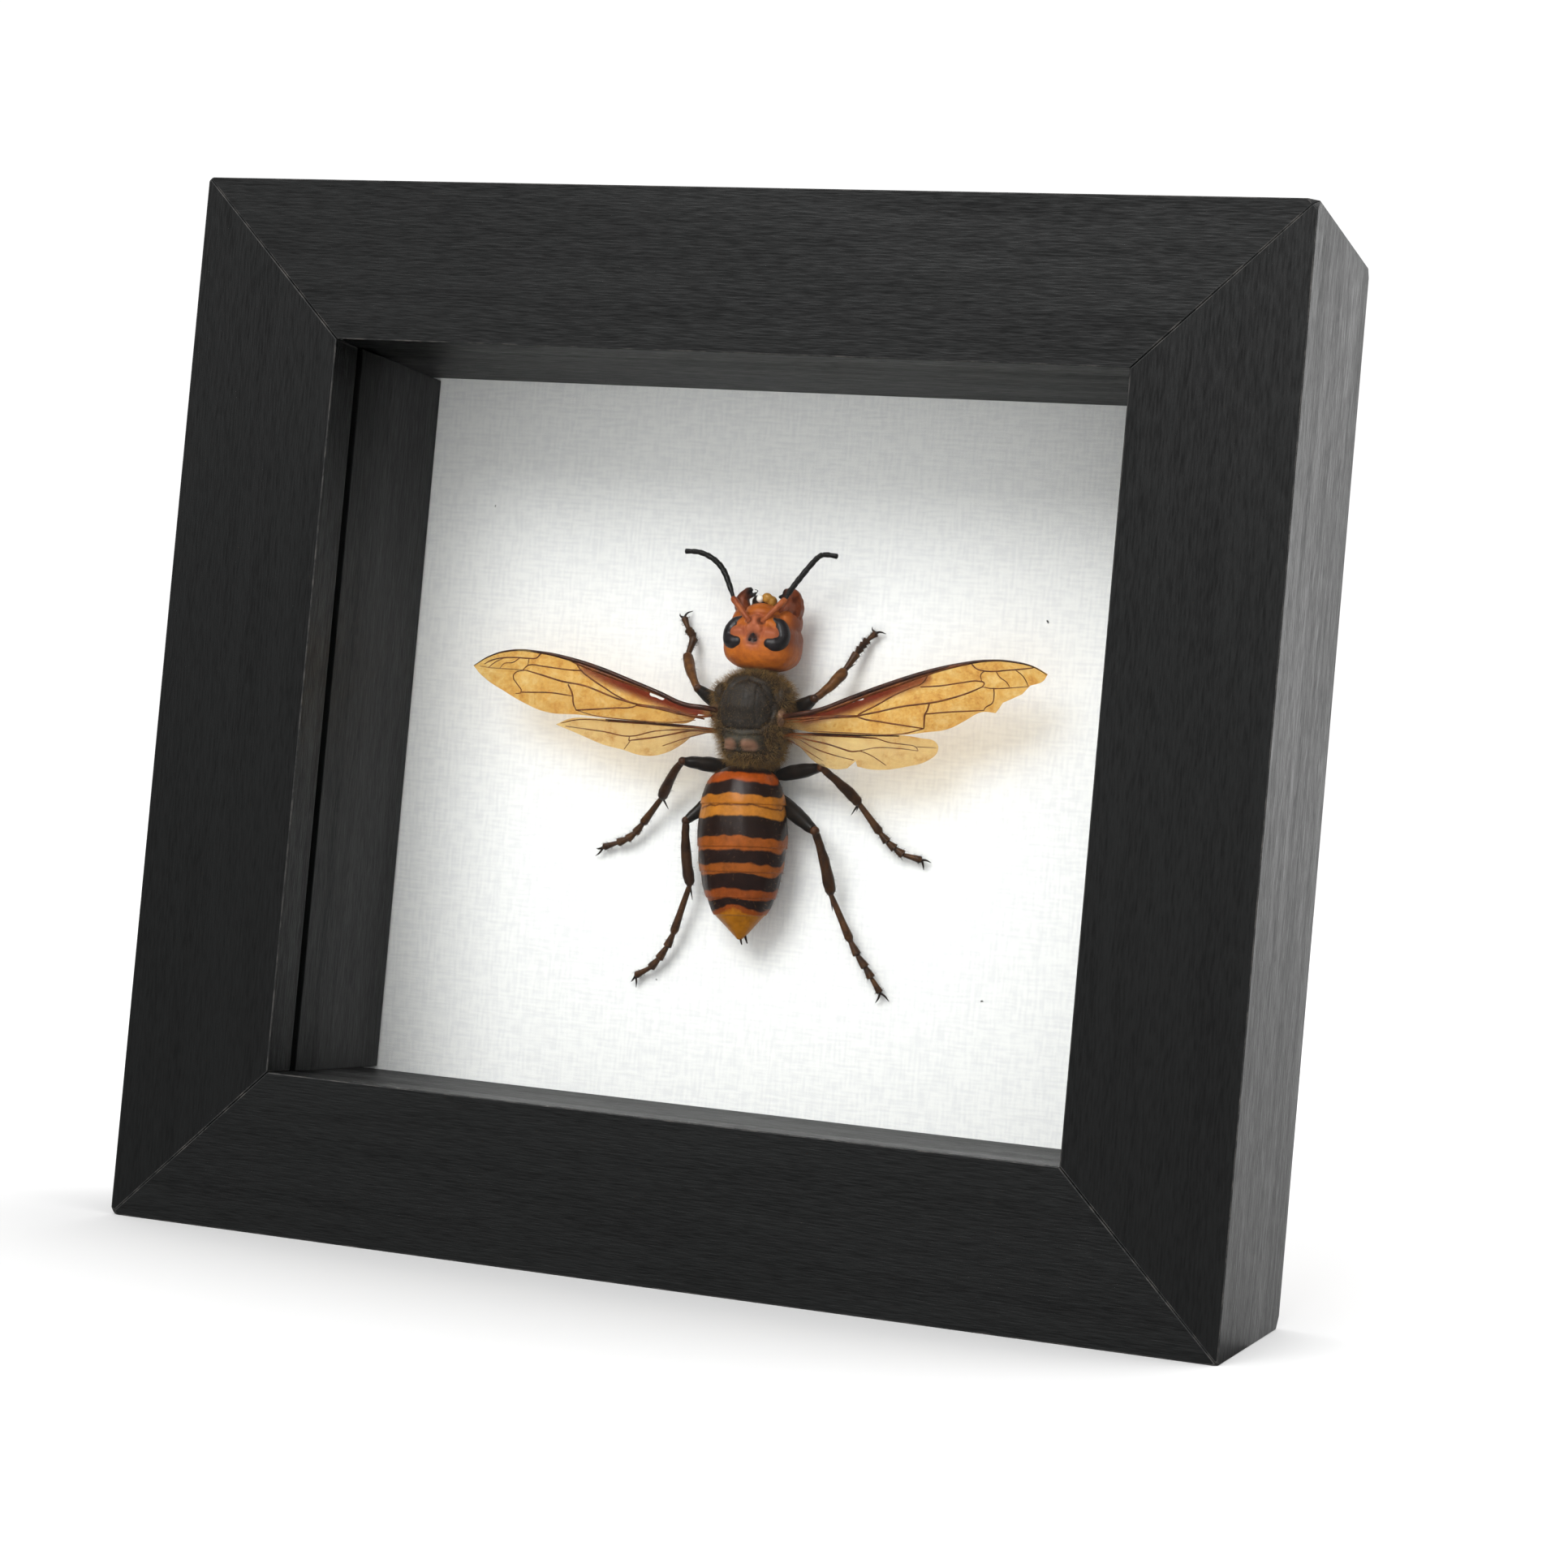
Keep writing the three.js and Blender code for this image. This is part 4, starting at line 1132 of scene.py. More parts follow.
# Where each ring's outline runs along the body, and its half width there, in millimetres. Each ring
# ends in a step down to the next.
ABDOMEN_RINGS = [
    [
        (-5.3, 0.9), (-5.4, 1.9), (-5.8, 2.95), (-6.4, 3.75), (-7.1, 4.25), (-8.4, 4.72), (-9.3, 4.95),
        (-9.8, 5.0),
    ],
    [(-9.9, 4.86), (-10.8, 5.05), (-12.2, 5.24), (-13.6, 5.34), (-14.7, 5.32)],
    [(-14.85, 5.16), (-15.8, 5.14), (-16.8, 5.03), (-17.55, 4.9)],
    [(-17.7, 4.74), (-18.6, 4.6), (-19.6, 4.36), (-20.5, 4.05)],
    [(-20.65, 3.88), (-21.3, 3.68), (-22, 3.38), (-22.45, 3.1)],
    [(-22.6, 2.82), (-23.3, 2.2), (-24.1, 1.45), (-24.8, 0.8), (-25.2, 0.3)],
]
RING_OVERHANG = 0.07
RING_STEP = 0.14
BELLY_DEPTH = 0.9
ABDOMEN_FLATTENING = 0.83
ABDOMEN_LIFT = 4.9
ABDOMEN_TURN = math.radians(3.6)
ABDOMEN_ROOT_X = -1.6
ABDOMEN_SIDES = 96
STING_POINTS = [[(-0.1, -24.4, 4.9), (0.3, -25.8, 4.8)], [(0.4, -24.2, 4.9), (0.95, -25.6, 4.8)]]


def add_abdomen():
    """The abdomen, spun from its outline, then flattened, dented and marked for its bands."""
    outline = [(ABDOMEN_RINGS[0][0][0], 0)]
    for ring in ABDOMEN_RINGS:
        outline += ring
        rear_y, rear_radius = ring[-1]
        outline += [(rear_y - RING_OVERHANG, rear_radius - 0.02), (rear_y - 0.02, rear_radius - RING_STEP)]
    outline[-1] = (ABDOMEN_RINGS[-1][-1][0] - 0.12, 0)
    mesh = bpy.data.meshes.new("abdomen")
    places = [(radius, y, 0) for y, radius in outline]
    mesh.from_pydata(places, [(i, i + 1) for i in range(len(places) - 1)], [])
    abdomen = bpy.data.objects.new("abdomen", mesh)
    bpy.context.scene.collection.objects.link(abdomen)
    only(abdomen)
    bpy.ops.object.mode_set(mode="EDIT")
    bpy.ops.mesh.select_all(action="SELECT")
    bpy.ops.mesh.spin(steps=ABDOMEN_SIDES, angle=math.tau, center=(0, 0, 0), axis=(0, 1, 0))
    bpy.ops.object.mode_set(mode="OBJECT")
    weld(abdomen)
    modify(abdomen, "SUBSURF", levels=1, render_levels=1)

    places = corners_of(abdomen)
    around = np.arctan2(places[:, 2], places[:, 0])
    # The bands' edges sway a little on their way round the body
    sway = 0.22 * np.cos(2 * around) + 0.12 * np.sin(3 * around + places[:, 1] * 0.5)
    belly = np.where(places[:, 2] < 0, BELLY_DEPTH, 1)
    # Seen from above, the rings' rear edges bow back in the middle
    bow = 0.035 * (places[:, 0] ** 2) * np.clip(places[:, 2], 0, 1)
    along = places[:, 1] - 0.35 * sway + bow * 0.6
    # The last bands run forward in an arch over the middle of the back
    arch = np.exp(-((places[:, 0] - 0.3) / 1.9) ** 2) * np.clip(places[:, 2], 0, 1)
    near_arch = np.exp(-(((places[:, 1] + 21.6) / 0.7) ** 2))
    along = along - arch * near_arch * 0.75
    places[:, 2] *= belly
    move_corners(abdomen, places)
    mark(abdomen, "along", (along - BAND_START) / (BAND_END - BAND_START))
    roughen(abdomen, 2.2, 0.12, seed=7)
    roughen(abdomen, 0.5, 0.025, seed=8)
    settle_abdomen = (
        Matrix.Translation((ABDOMEN_ROOT_X, 0, ABDOMEN_LIFT))
        @ Matrix.Rotation(ABDOMEN_TURN, 4, "Z")
        @ Matrix.Diagonal((1, 1, ABDOMEN_FLATTENING, 1))
    )
    abdomen.data.transform(settle_abdomen)

    def sparse(root, normal):
        return 1 if normal.z < 0.55 or root.y < -20 else 0.25

    down = grow_hairs(
        abdomen, count=1100, length=0.42, thickness=0.01, lean=(0, -1.4, 0), wanted=sparse, seed=13
    )
    finish_piece(abdomen, "abdomen", [abdomen_shell], ["hornet_abdomen"])
    finish_piece(down, "abdomen_down", [rusty_hair], ["hornet_abdomen"])
    stings = join([rod(points, [0.24, 0.07], 2, 3) for points in STING_POINTS])
    finish_piece(stings, "sting_points", [dark_horn], ["hornet_abdomen"])


# The legs

# Each leg from the body outwards: where its hip and its thigh start, its knee, and where the shin and
# each of the five foot joints end. Then the tips of its spurs and claws, and how thick it is.
LEGS = {
    "fore_leg_left": dict(
        hip=(-3, 0.2, 2.4), root=(-3.9, 0.6, 3.2), knee=(-7.6, 3.1, 5.5), shin=(-10.3, 7.1, 2.6),
        foot=[(-10.1, 9.2, 1.6), (-10.4, 9.5, 1.5), (-10.7, 9.8, 1.4), (-11, 10.1, 1.3), (-11.8, 11.5, 0.9)],
        spurs=[(-9.9, 8.5, 1.8)], claws=[(-12.6, 12, 0.4), (-11, 12.4, 0.4)], thickness=1.05,
    ),
    "fore_leg_right": dict(
        hip=(2, 0.4, 2.4), root=(2.9, 1, 3.4), knee=(6.6, 2.9, 5.5), shin=(9, 6.5, 2.8),
        foot=[(10, 8.7, 1.8), (10.3, 9.3, 1.6), (10.6, 9.8, 1.4), (10.9, 10.3, 1.2), (11.8, 11.2, 0.9)],
        spurs=[(9.9, 7.4, 1.9)], claws=[(11.1, 11.9, 0.4), (12.8, 11.2, 0.4)], thickness=1.05,
    ),
    "middle_leg_left": dict(
        hip=(-2, -4.4, 2.2), root=(-2.6, -5.6, 2.4), knee=(-8.5, -5.4, 6), shin=(-11.8, -9.7, 2.8),
        foot=[
            (-14.3, -13, 1.9), (-15.2, -14.1, 1.6), (-16.2, -14.9, 1.4), (-17.4, -15.4, 1.2),
            (-19.3, -16.1, 0.9),
        ],
        spurs=[(-11.2, -11, 2)], claws=[(-20.4, -16.3, 0.4), (-20.4, -17.2, 0.4)], thickness=1,
    ),
    "middle_leg_right": dict(
        hip=(1.2, -4.6, 2.2), root=(1.7, -6.1, 2.5), knee=(8.3, -4.9, 6), shin=(12.2, -8.5, 3),
        foot=[
            (14.8, -11.7, 2), (15.6, -12.6, 1.7), (16.5, -13.3, 1.4), (17.5, -13.9, 1.2),
            (19.6, -14.3, 0.9),
        ],
        spurs=[(11.1, -9.9, 2), (11.8, -9.4, 2.3)],
        claws=[(20.6, -14.5, 0.4), (19.8, -15.4, 0.4)], thickness=1,
    ),
    "hind_leg_left": dict(
        hip=(-1.4, -4.8, 1.6), root=(-2, -6, 1.3), knee=(-8, -12.2, 4.4), shin=(-7.4, -19.5, 2.8),
        foot=[
            (-9.2, -25.4, 2), (-9.9, -27, 1.8), (-10.9, -28.5, 1.5), (-11.9, -29.6, 1.2),
            (-13.8, -30.7, 0.9),
        ],
        spurs=[(-7.2, -21.3, 2)], claws=[(-14.5, -31.5, 0.4), (-13.8, -32.1, 0.4)], thickness=1.05,
    ),
    "hind_leg_right": dict(
        hip=(0.5, -4.8, 1.6), root=(0.8, -8, 1.3), knee=(8, -12.1, 5.3), shin=(9.7, -19, 2.8),
        foot=[(12.4, -24.3, 2), (13.3, -25.8, 1.8), (14.3, -27.1, 1.5), (15, -28.2, 1.2), (16.1, -29.8, 0.9)],
        spurs=[(9.9, -21, 2)], claws=[(15.5, -31, 0.4), (17.1, -30.7, 0.4)], thickness=1.1,
    ),
}


def along_line(start, end, shares, bow=(0, 0, 0)):
    """Points at these shares of the way from start to end, bowed out in the middle."""
    start, end, bow = Vector(start), Vector(end), Vector(bow)
    return [start.lerp(end, share) + bow * 4 * share * (1 - share) for share in shares]


# The limbs' outlines: shares of the way along, and the radius there in millimetres
THIGH_SHARES = [0, 0.12, 0.35, 0.6, 0.85, 0.97]
THIGH_RADII = [0.5, 0.72, 0.88, 0.86, 0.66, 0.5]
SHIN_SHARES = [0, 0.08, 0.3, 0.62, 0.85, 0.96, 1.01]
SHIN_RADII = [0.32, 0.42, 0.47, 0.6, 0.66, 0.58, 0.4]
SHIN_BOW = 0.25
FOOT_SHARES = [0, 0.2, 0.6, 0.92, 1.0]


def add_leg(name, hip, root, knee, shin, foot, spurs, claws, thickness):
    """One leg: hip, thigh, shin with its spurs, five foot joints, two hooked claws, and bristles."""
    fore = name.startswith("fore")
    shin_material = fore_shin_shell if fore else shin_shell
    hip_joint = rod([hip, root], [0.75, 0.8], 2, 3)
    root_joint = ball(root, (0.72, 0.72, 0.72), 18, 12)
    thigh = rod(along_line(root, knee, THIGH_SHARES), [r * thickness for r in THIGH_RADII], 4, 4)
    knee_joint = ball(knee, [0.5 * thickness] * 3, 18, 12)
    bow = (SHIN_BOW if Vector(shin).x > 0 else -SHIN_BOW, 0, 0)
    shin_part = rod(along_line(knee, shin, SHIN_SHARES, bow), [r * thickness for r in SHIN_RADII], 4, 4)
    feet = []
    start = shin
    for i, end in enumerate(foot):
        long_joint = i in (0, 4)
        base = 0.29 if i < 4 else 0.22
        radii = [base, base + 0.06, base + (0.12 if long_joint else 0.17), 0.53 if i < 4 else 0.44, 0.3]
        feet.append(rod(along_line(start, end, FOOT_SHARES), radii, 2, 3))
        start = end
    hooks = []
    for tip in claws:
        out = Vector(tip) - Vector(start)
        side = Vector((-out.y, out.x, 0)) * 0.12
        path = [start, Vector(start) + out * 0.45 + side + Vector((0, 0, 0.28)), Vector(tip)]
        hooks.append(rod(path, [0.16, 0.12, 0.035], 4, 2))
    for tip in spurs:
        hooks.append(rod(along_line(shin, tip, [0, 0.5, 1]), [0.15, 0.11, 0.03], 2, 2))
    for i, part in enumerate((thigh, shin_part)):
        roughen(part, 0.9, 0.09, seed=40 + i)
    parts = [
        (hip_joint, thigh_shell), (root_joint, thigh_shell), (thigh, thigh_shell), (knee_joint, knee_shell),
        (shin_part, shin_material),
    ]
    parts += [(joint, foot_shell) for joint in feet] + [(hook, claw_shell) for hook in hooks]

    shin_hairs = grow_hairs(
        shin_part, count=90, length=0.42, thickness=0.014, lean=(0, 0, 0), wanted=lambda *_: 1, seed=21
    )
    foot_bristles = []
    for i, joint in enumerate(feet):
        lean = (Vector(foot[i]) - Vector(foot[i - 1] if i else shin)).normalized() * 1.6
        far_end = Vector(foot[i])
        reach = 1.1 if i else 2.5

        def near_end(root, _):
            return 1 if (root - far_end).length < reach else 0.15

        bristles = grow_hairs(
            joint, count=34, length=0.48, thickness=0.02, lean=lean, wanted=near_end, seed=30 + i
        )
        foot_bristles.append(bristles)
    parts += [(hairs, black_bristle) for hairs in (shin_hairs, *foot_bristles)]
    for part, material in parts:
        part.data.materials.clear()
        part.data.materials.append(material)
    leg = join([part for part, _ in parts])
    finish_piece(leg, name + "_limb", None, [name], smooth_angle=50)


# The wings. Each has its height, its edge, which of the edge's bends are sharp, its tears, the line
# that is stained red-brown, its veins, each with its radius, and the leading vein with a radius at
# each point.
FORE = 8.62
HIND = 7.62
WINGS = {
    "forewing_left": dict(
        height=FORE,
        edge=[
            (-3.6, 0.9), (-5, 0.8), (-8, 1.1), (-11.1, 2.2), (-14.9, 3.4), (-18.7, 4.5), (-22.5, 5.4),
            (-26.4, 5.9), (-30.2, 5.8), (-32.9, 4.9), (-34.7, 3.7), (-33.2, 2.4), (-30.3, 0.9),
            (-27.6, -0.3), (-24.8, -1.1), (-21, -1.1), (-18.1, -1.2), (-13, -1.35), (-9.4, -1.3),
            (-6.9, -0.9), (-6.1, 0), (-3.6, -0.2),
        ],
        corners=(0, 10, 15, 20, 21),
        tears=[[(-12.3, 1.95), (-11.5, 1.9), (-10.4, 1.5), (-11.5, 1.55)]],
        stain=[(-6.2, 0.2), (-9.5, 1), (-12.5, 1.8), (-15.5, 2.7), (-18, 3.5), (-20.4, 4.3)],
        veins=[
            (0.2, [
                (-5, 0.6), (-8.6, 1.15), (-11.2, 1.95), (-14.6, 2.9), (-17.8, 3.75), (-21.3, 4.75),
                (-23, 5.35),
            ]),
            (0.14, [(-4.6, 0), (-6.2, -0.3), (-9.8, 0.3), (-13.7, 0.6)]),
            (0.1, [
                (-13.7, 0.6), (-16.3, 1.1), (-19, 1.9), (-20.5, 2.3), (-23.2, 2.6), (-25.6, 3.1),
                (-28, 3.6),
            ]),
            (0.05, [(-28, 3.6), (-30.4, 3.6), (-32.5, 3.6), (-33.9, 3.7)]),
            (0.09, [(-21.8, 4.9), (-21, 4), (-19.6, 3.1), (-17.9, 2.2), (-16.3, 1.4), (-14.2, 0.65)]),
            (0.08, [(-21, 4), (-22.8, 4), (-24.4, 4.1), (-26, 4.2), (-27.7, 4.2), (-28.4, 3.6)]),
            (0.08, [
                (-26.3, 5.7), (-26.8, 5.1), (-27.7, 5), (-29.5, 5), (-31.3, 4.8), (-32.6, 4.4),
                (-33.3, 4),
            ]),
            (0.06, [(-27.7, 5), (-27.8, 4.2)]),
            (0.06, [(-28.9, 5), (-29.7, 4.4), (-30.8, 4.2), (-31.3, 3.6)]),
            (0.06, [(-31, 4.8), (-31.9, 4.3), (-32.8, 3.6)]),
            (0.07, [(-28.1, 3.6), (-29.3, 3.2), (-29.5, 2.7), (-28.9, 1.9), (-28.3, 1), (-29, 0.8)]),
            (0.08, [(-28.3, 1), (-26.7, 1.1), (-24.6, 1.2), (-23, 1.1), (-21.8, 1)]),
            (0.1, [(-22.5, 2.3), (-22, 1.5), (-21.8, 1), (-21.6, 0.1), (-21.2, -0.6)]),
            (0.09, [(-21.2, -0.6), (-18.7, -0.3), (-16.2, 0), (-14.4, 0.2), (-13.7, 0.5)]),
            (0.12, [(-13.7, 0.5), (-11.1, 0.3), (-8.5, -0.1), (-5.4, -0.5)]),
            (0.06, [(-21.2, -0.6), (-19, -1.05), (-14, -1.25), (-9, -1.15), (-6.4, -0.7)]),
        ],
        leading=[
            (0.34, (-3.7, 0.5)), (0.3, (-5, 0.75)), (0.28, (-8, 1)), (0.27, (-11.1, 2.05)),
            (0.27, (-14.9, 3.25)), (0.26, (-18.7, 4.4)), (0.25, (-22.5, 5.25)), (0.16, (-26.4, 5.8)),
            (0.11, (-30.2, 5.75)), (0.08, (-32.9, 4.85)), (0.04, (-34.6, 3.75)),
        ],
    ),
    "forewing_right": dict(
        height=FORE,
        edge=[
            (3, 0.6), (5.5, 0.8), (8.4, 1.6), (11.5, 3), (16.2, 5.1), (20.9, 6.9), (25, 8), (27.4, 8.45),
            (30.3, 8.5), (32.6, 8.1), (34.3, 7.3), (33.8, 6.5), (32.4, 5.9), (31.6, 4.9), (29.5, 3.8),
            (28.8, 2.6), (27.2, 2.6), (25.2, 1.4), (23.4, 0.4), (21, -0.1), (18.2, -0.6), (7.7, -1.1),
            (3, -0.6),
        ],
        corners=(0, 10, 12, 13, 14, 15, 21, 22),
        tears=[[(11.9, 2.7), (12.6, 3.15), (13.4, 3.2), (12.7, 2.85)]],
        stain=[(6.8, 0.5), (9.2, 1.2), (12.5, 2.5), (15.5, 3.9), (18.5, 5.2), (20.2, 5.9)],
        veins=[
            (0.2, [
                (4.6, 0.6), (9.2, 1.55), (11.6, 2.6), (14.9, 4.05), (17.7, 5.2), (20.5, 6.4),
                (23.3, 7.4), (25.4, 7.95),
            ]),
            (0.14, [(3.6, 0.2), (5.6, 0.3), (9.3, 0.8), (12.8, 1.15)]),
            (0.1, [
                (12.8, 1.15), (15.3, 1.8), (17.7, 2.5), (19.6, 2.9), (21.2, 3.2), (23.6, 3.9),
                (25.4, 4.6), (27, 5.4),
            ]),
            (0.06, [(27, 5.4), (28, 5.3), (30.1, 5.5), (32.2, 5.8)]),
            (0.09, [
                (20.6, 6.4), (20.1, 5.4), (18.7, 4.7), (16.8, 3.7), (15, 2.5), (13.1, 1.4), (12.8, 1.15),
            ]),
            (0.08, [(19.9, 4.9), (22.2, 5.2), (24.6, 5.7), (26.7, 6), (27.2, 5.8), (27, 5.4)]),
            (0.08, [
                (25.5, 7.9), (26.1, 7.4), (26.9, 7.2), (28.1, 7.2), (29.5, 7.4), (30.9, 7.6),
                (32.6, 7.9),
            ]),
            (0.06, [(27.1, 7.2), (26.7, 6.7), (26.9, 6)]),
            (0.06, [(28.4, 7.2), (28.9, 6.6), (29.7, 6.1), (30.1, 5.6)]),
            (0.06, [(30.5, 7.6), (31.5, 6.9), (32, 6.2), (32.2, 5.8)]),
            (0.07, [(28.3, 5.4), (28.4, 4.5), (28.3, 3.7), (27.5, 3.1), (27.4, 2.8)]),
            (0.08, [(20.6, 1.9), (23.2, 2.3), (25.6, 2.6), (27.4, 2.8)]),
            (0.1, [(21.1, 3.2), (20.9, 2.3), (20.7, 1.9), (20.7, 0.9), (20.7, 0.3)]),
            (0.09, [(12.8, 1.1), (13.4, 0.9), (15.4, 0.7), (17.9, 0.5), (20.7, 0.3)]),
            (0.1, [(4.4, -0.1), (6, 0), (9, 0.6), (12.8, 1.05)]),
            (0.06, [(20.7, 0.3), (18.2, -0.5), (13, -0.8), (7.8, -0.95)]),
        ],
        leading=[
            (0.34, (3.2, 0.4)), (0.3, (5.5, 0.75)), (0.28, (8.4, 1.5)), (0.27, (11.5, 2.9)),
            (0.27, (16.2, 4.95)), (0.25, (20.9, 6.75)), (0.2, (25, 7.9)), (0.13, (27.4, 8.35)),
            (0.11, (30.3, 8.4)), (0.08, (32.6, 8)), (0.04, (34.2, 7.25)),
        ],
    ),
    "hindwing_left": dict(
        height=HIND,
        edge=[
            (-3.6, -1.5), (-5.6, -1.45), (-11.6, -1.35), (-19.4, -1.35), (-22.3, -1.6), (-24, -2.4),
            (-20.7, -3.4), (-17.8, -4.3), (-15.4, -4.7), (-12.6, -5.2), (-10.1, -4.7), (-8.1, -3.5),
            (-6.9, -2.5), (-5.6, -2.1), (-3.6, -1.9),
        ],
        corners=(0, 5, 8, 14),
        tears=[],
        stain=[],
        veins=[
            (0.11, [(-3.8, -1.6), (-5.4, -1.5), (-8.7, -1.5), (-13.8, -1.5), (-17.5, -1.55)]),
            (0.06, [(-17.5, -1.55), (-19.3, -1.5), (-21.6, -1.7), (-23.4, -2.2)]),
            (0.09, [
                (-4.2, -1.7), (-5.5, -1.8), (-7.4, -1.95), (-9.6, -2.5), (-11.6, -3), (-13.7, -3.4),
                (-14.7, -3.6),
            ]),
            (0.07, [(-14.7, -3.6), (-14.7, -3.1)]),
            (0.07, [
                (-4.4, -1.65), (-8.7, -1.9), (-11.7, -2.3), (-14.7, -3.1), (-17.8, -2.8), (-19.4, -2.7),
                (-22.8, -2.5),
            ]),
            (0.06, [(-14.5, -3.6), (-15.2, -4.6)]),
            (0.06, [(-5.4, -2), (-8, -2.9), (-10.5, -3.9)]),
        ],
        leading=[(0.2, (-3.8, -1.6)), (0.16, (-8.7, -1.42)), (0.13, (-13.8, -1.4)), (0.07, (-17.8, -1.4))],
    ),
    "hindwing_right": dict(
        height=HIND,
        edge=[
            (2.8, -1.6), (5.1, -1.4), (10.4, -1.05), (17.6, -0.6), (20.1, -0.75), (22, -1.15),
            (22.25, -2.1), (21.5, -3), (18.7, -4.1), (14.8, -4.7), (13.1, -4.5), (12.8, -3.9),
            (11.9, -4.8), (10.4, -5), (8.1, -4.4), (6.2, -2.9), (4.9, -2.1), (2.8, -2.1),
        ],
        corners=(0, 10, 11, 12, 17),
        tears=[],
        stain=[],
        veins=[
            (0.11, [(3, -1.7), (5.4, -1.35), (7.9, -1.3), (11.6, -1.2), (15, -1.15)]),
            (0.09, [
                (3.2, -1.8), (5.4, -1.6), (6.9, -1.9), (9.2, -2.2), (11, -2.6), (12.2, -2.85),
                (13.2, -2.7),
            ]),
            (0.06, [(13.2, -2.7), (15.1, -2.2), (17.8, -2.1), (20, -2.2)]),
            (0.06, [(13.2, -2.7), (14.5, -3.1), (15.5, -3.6), (16.4, -4.1)]),
            (0.06, [(15, -1.15), (16.5, -1.5), (18.2, -1.6), (19.7, -1.8), (20, -2.2)]),
            (0.05, [(19.8, -1.75), (22, -1.7)]),
            (0.07, [(3.6, -1.9), (5.4, -1.8), (7.8, -2.8), (10.1, -3.4), (12.6, -3.8)]),
            (0.05, [(4.2, -2), (6.4, -2.9), (9, -4.2)]),
        ],
        leading=[(0.2, (3, -1.65)), (0.16, (7.9, -1.2)), (0.12, (13, -0.95)), (0.07, (17.6, -0.7))],
    ),
}
MEMBRANE_THICKNESS = 0.07
MEMBRANE_GRID = 0.3
VEIN_THICKENING = 1.05
# How the skin lies: its ripples, its dip to the hinge and the droop of its outer part
RIPPLE = 0.14
HINGE_DIP = 1.7
HINGE_X = 2.8
HINGE_REACH = 1.7
DROOP = 0.006
DROOP_START = 6
# Where its colours lie: the stain's half width and its fading along the wing, and how far from the
# body the smoky part fades out and over what length
STAIN_WIDTH = 0.8
STAIN_FADING = 22
SMOKE_END = 10
SMOKE_FADING = 6


def wing_surface(x, y, height):
    """The height of a wing's skin, which dips to its hinge, ripples a little and droops at the tip."""
    ripple = RIPPLE * noise.noise(Vector((x * 0.55, y * 1.3, height)))
    dip = HINGE_DIP * math.exp(-((max(abs(x) - HINGE_X, 0) / HINGE_REACH) ** 2))
    return height + ripple - dip - DROOP * max(abs(x) - DROOP_START, 0)


def add_wing(name, height, edge, corners, tears, stain, veins, leading):
    """A wing: the thin skin cut to its outline, and the veins that stand proud of both its sides."""
    pattern = bare_line()
    pattern.data.dimensions = "2D"
    pattern.data.fill_mode = "BOTH"
    pattern.data.extrude = 1
    pattern.data.resolution_u = 8
    lay_line(pattern, edge, closed=True, corners=corners)
    for tear in tears:
        lay_line(pattern, tear, closed=True)
    bpy.ops.object.convert(target="MESH")
    pattern = weld(bpy.context.object)
    pattern.data.transform(Matrix.Translation((0, 0, height)))

    xs, ys = [x for x, _ in edge], [y for _, y in edge]
    size = Vector((max(xs) - min(xs) + 1, max(ys) - min(ys) + 1, 1))
    middle = ((max(xs) + min(xs)) / 2, (max(ys) + min(ys)) / 2, height)
    bpy.ops.object.select_all(action="DESELECT")
    bpy.ops.mesh.primitive_grid_add(
        x_subdivisions=round(size.x / MEMBRANE_GRID),
        y_subdivisions=round(size.y / MEMBRANE_GRID),
        size=1,
        location=middle,
    )
    skin = bpy.context.object
    skin.scale = size
    settle(skin)
    modify(skin, "SOLIDIFY", thickness=MEMBRANE_THICKNESS, offset=0)
    modify(skin, "BOOLEAN", operation="INTERSECT", solver="EXACT", object=pattern)
    bpy.data.objects.remove(pattern)
    places = corners_of(skin)
    for place in places:
        place[2] += wing_surface(place[0], place[1], height) - height
    move_corners(skin, places)
    # The stain clings to its line and fades outwards, and the smoke clings to the body
    near_front = 1.35 - distance_to(places, stain) / STAIN_WIDTH if stain else places[:, 0] * 0
    fade = np.clip(1.3 - distance_to(places, stain[:2]) / STAIN_FADING, 0, 1) if stain else 1
    mark(skin, "stain", np.clip(near_front, 0, 1) * fade)
    from_body = np.abs(places[:, 0] + 0.5)
    mark(skin, "smoke", np.clip((SMOKE_END - from_body) / SMOKE_FADING, 0, 1) * 0.8)
    fore = name.startswith("fore")
    skin_material = forewing_skin if fore else hindwing_skin
    finish_piece(skin, name + "_skin", [skin_material], [name], smooth_angle=60)

    lines = []
    for radius, points in veins:
        path = [(x, y, wing_surface(x, y, height)) for x, y in points]
        radii = [radius] * (len(points) - 1) + [radius * 0.7]
        lines.append(rod(path, [radius * VEIN_THICKENING for radius in radii], 4, 1))
    net = join(lines)
    finish_piece(net, name + "_veins", [vein_shell], [name])
    path = [(x, y, wing_surface(x, y, height)) for _, (x, y) in leading]
    edge_vein = rod(path, [radius for radius, _ in leading], 6, 3)
    finish_piece(edge_vein, name + "_leading_vein", [costa_shell], [name])


# Specks of dust and fibre on the card: place, length and width
SPECKS = [
    ((-5.1, 44.6), 0.5, 0.12), ((-12.9, 39.9), 0.2, 0.1), ((31.6, 13.8), 0.3, 0.16),
    ((27.9, -29.6), 0.26, 0.12), ((-37.6, 23.5), 0.16, 0.1), ((-11.5, -31), 0.14, 0.1),
]


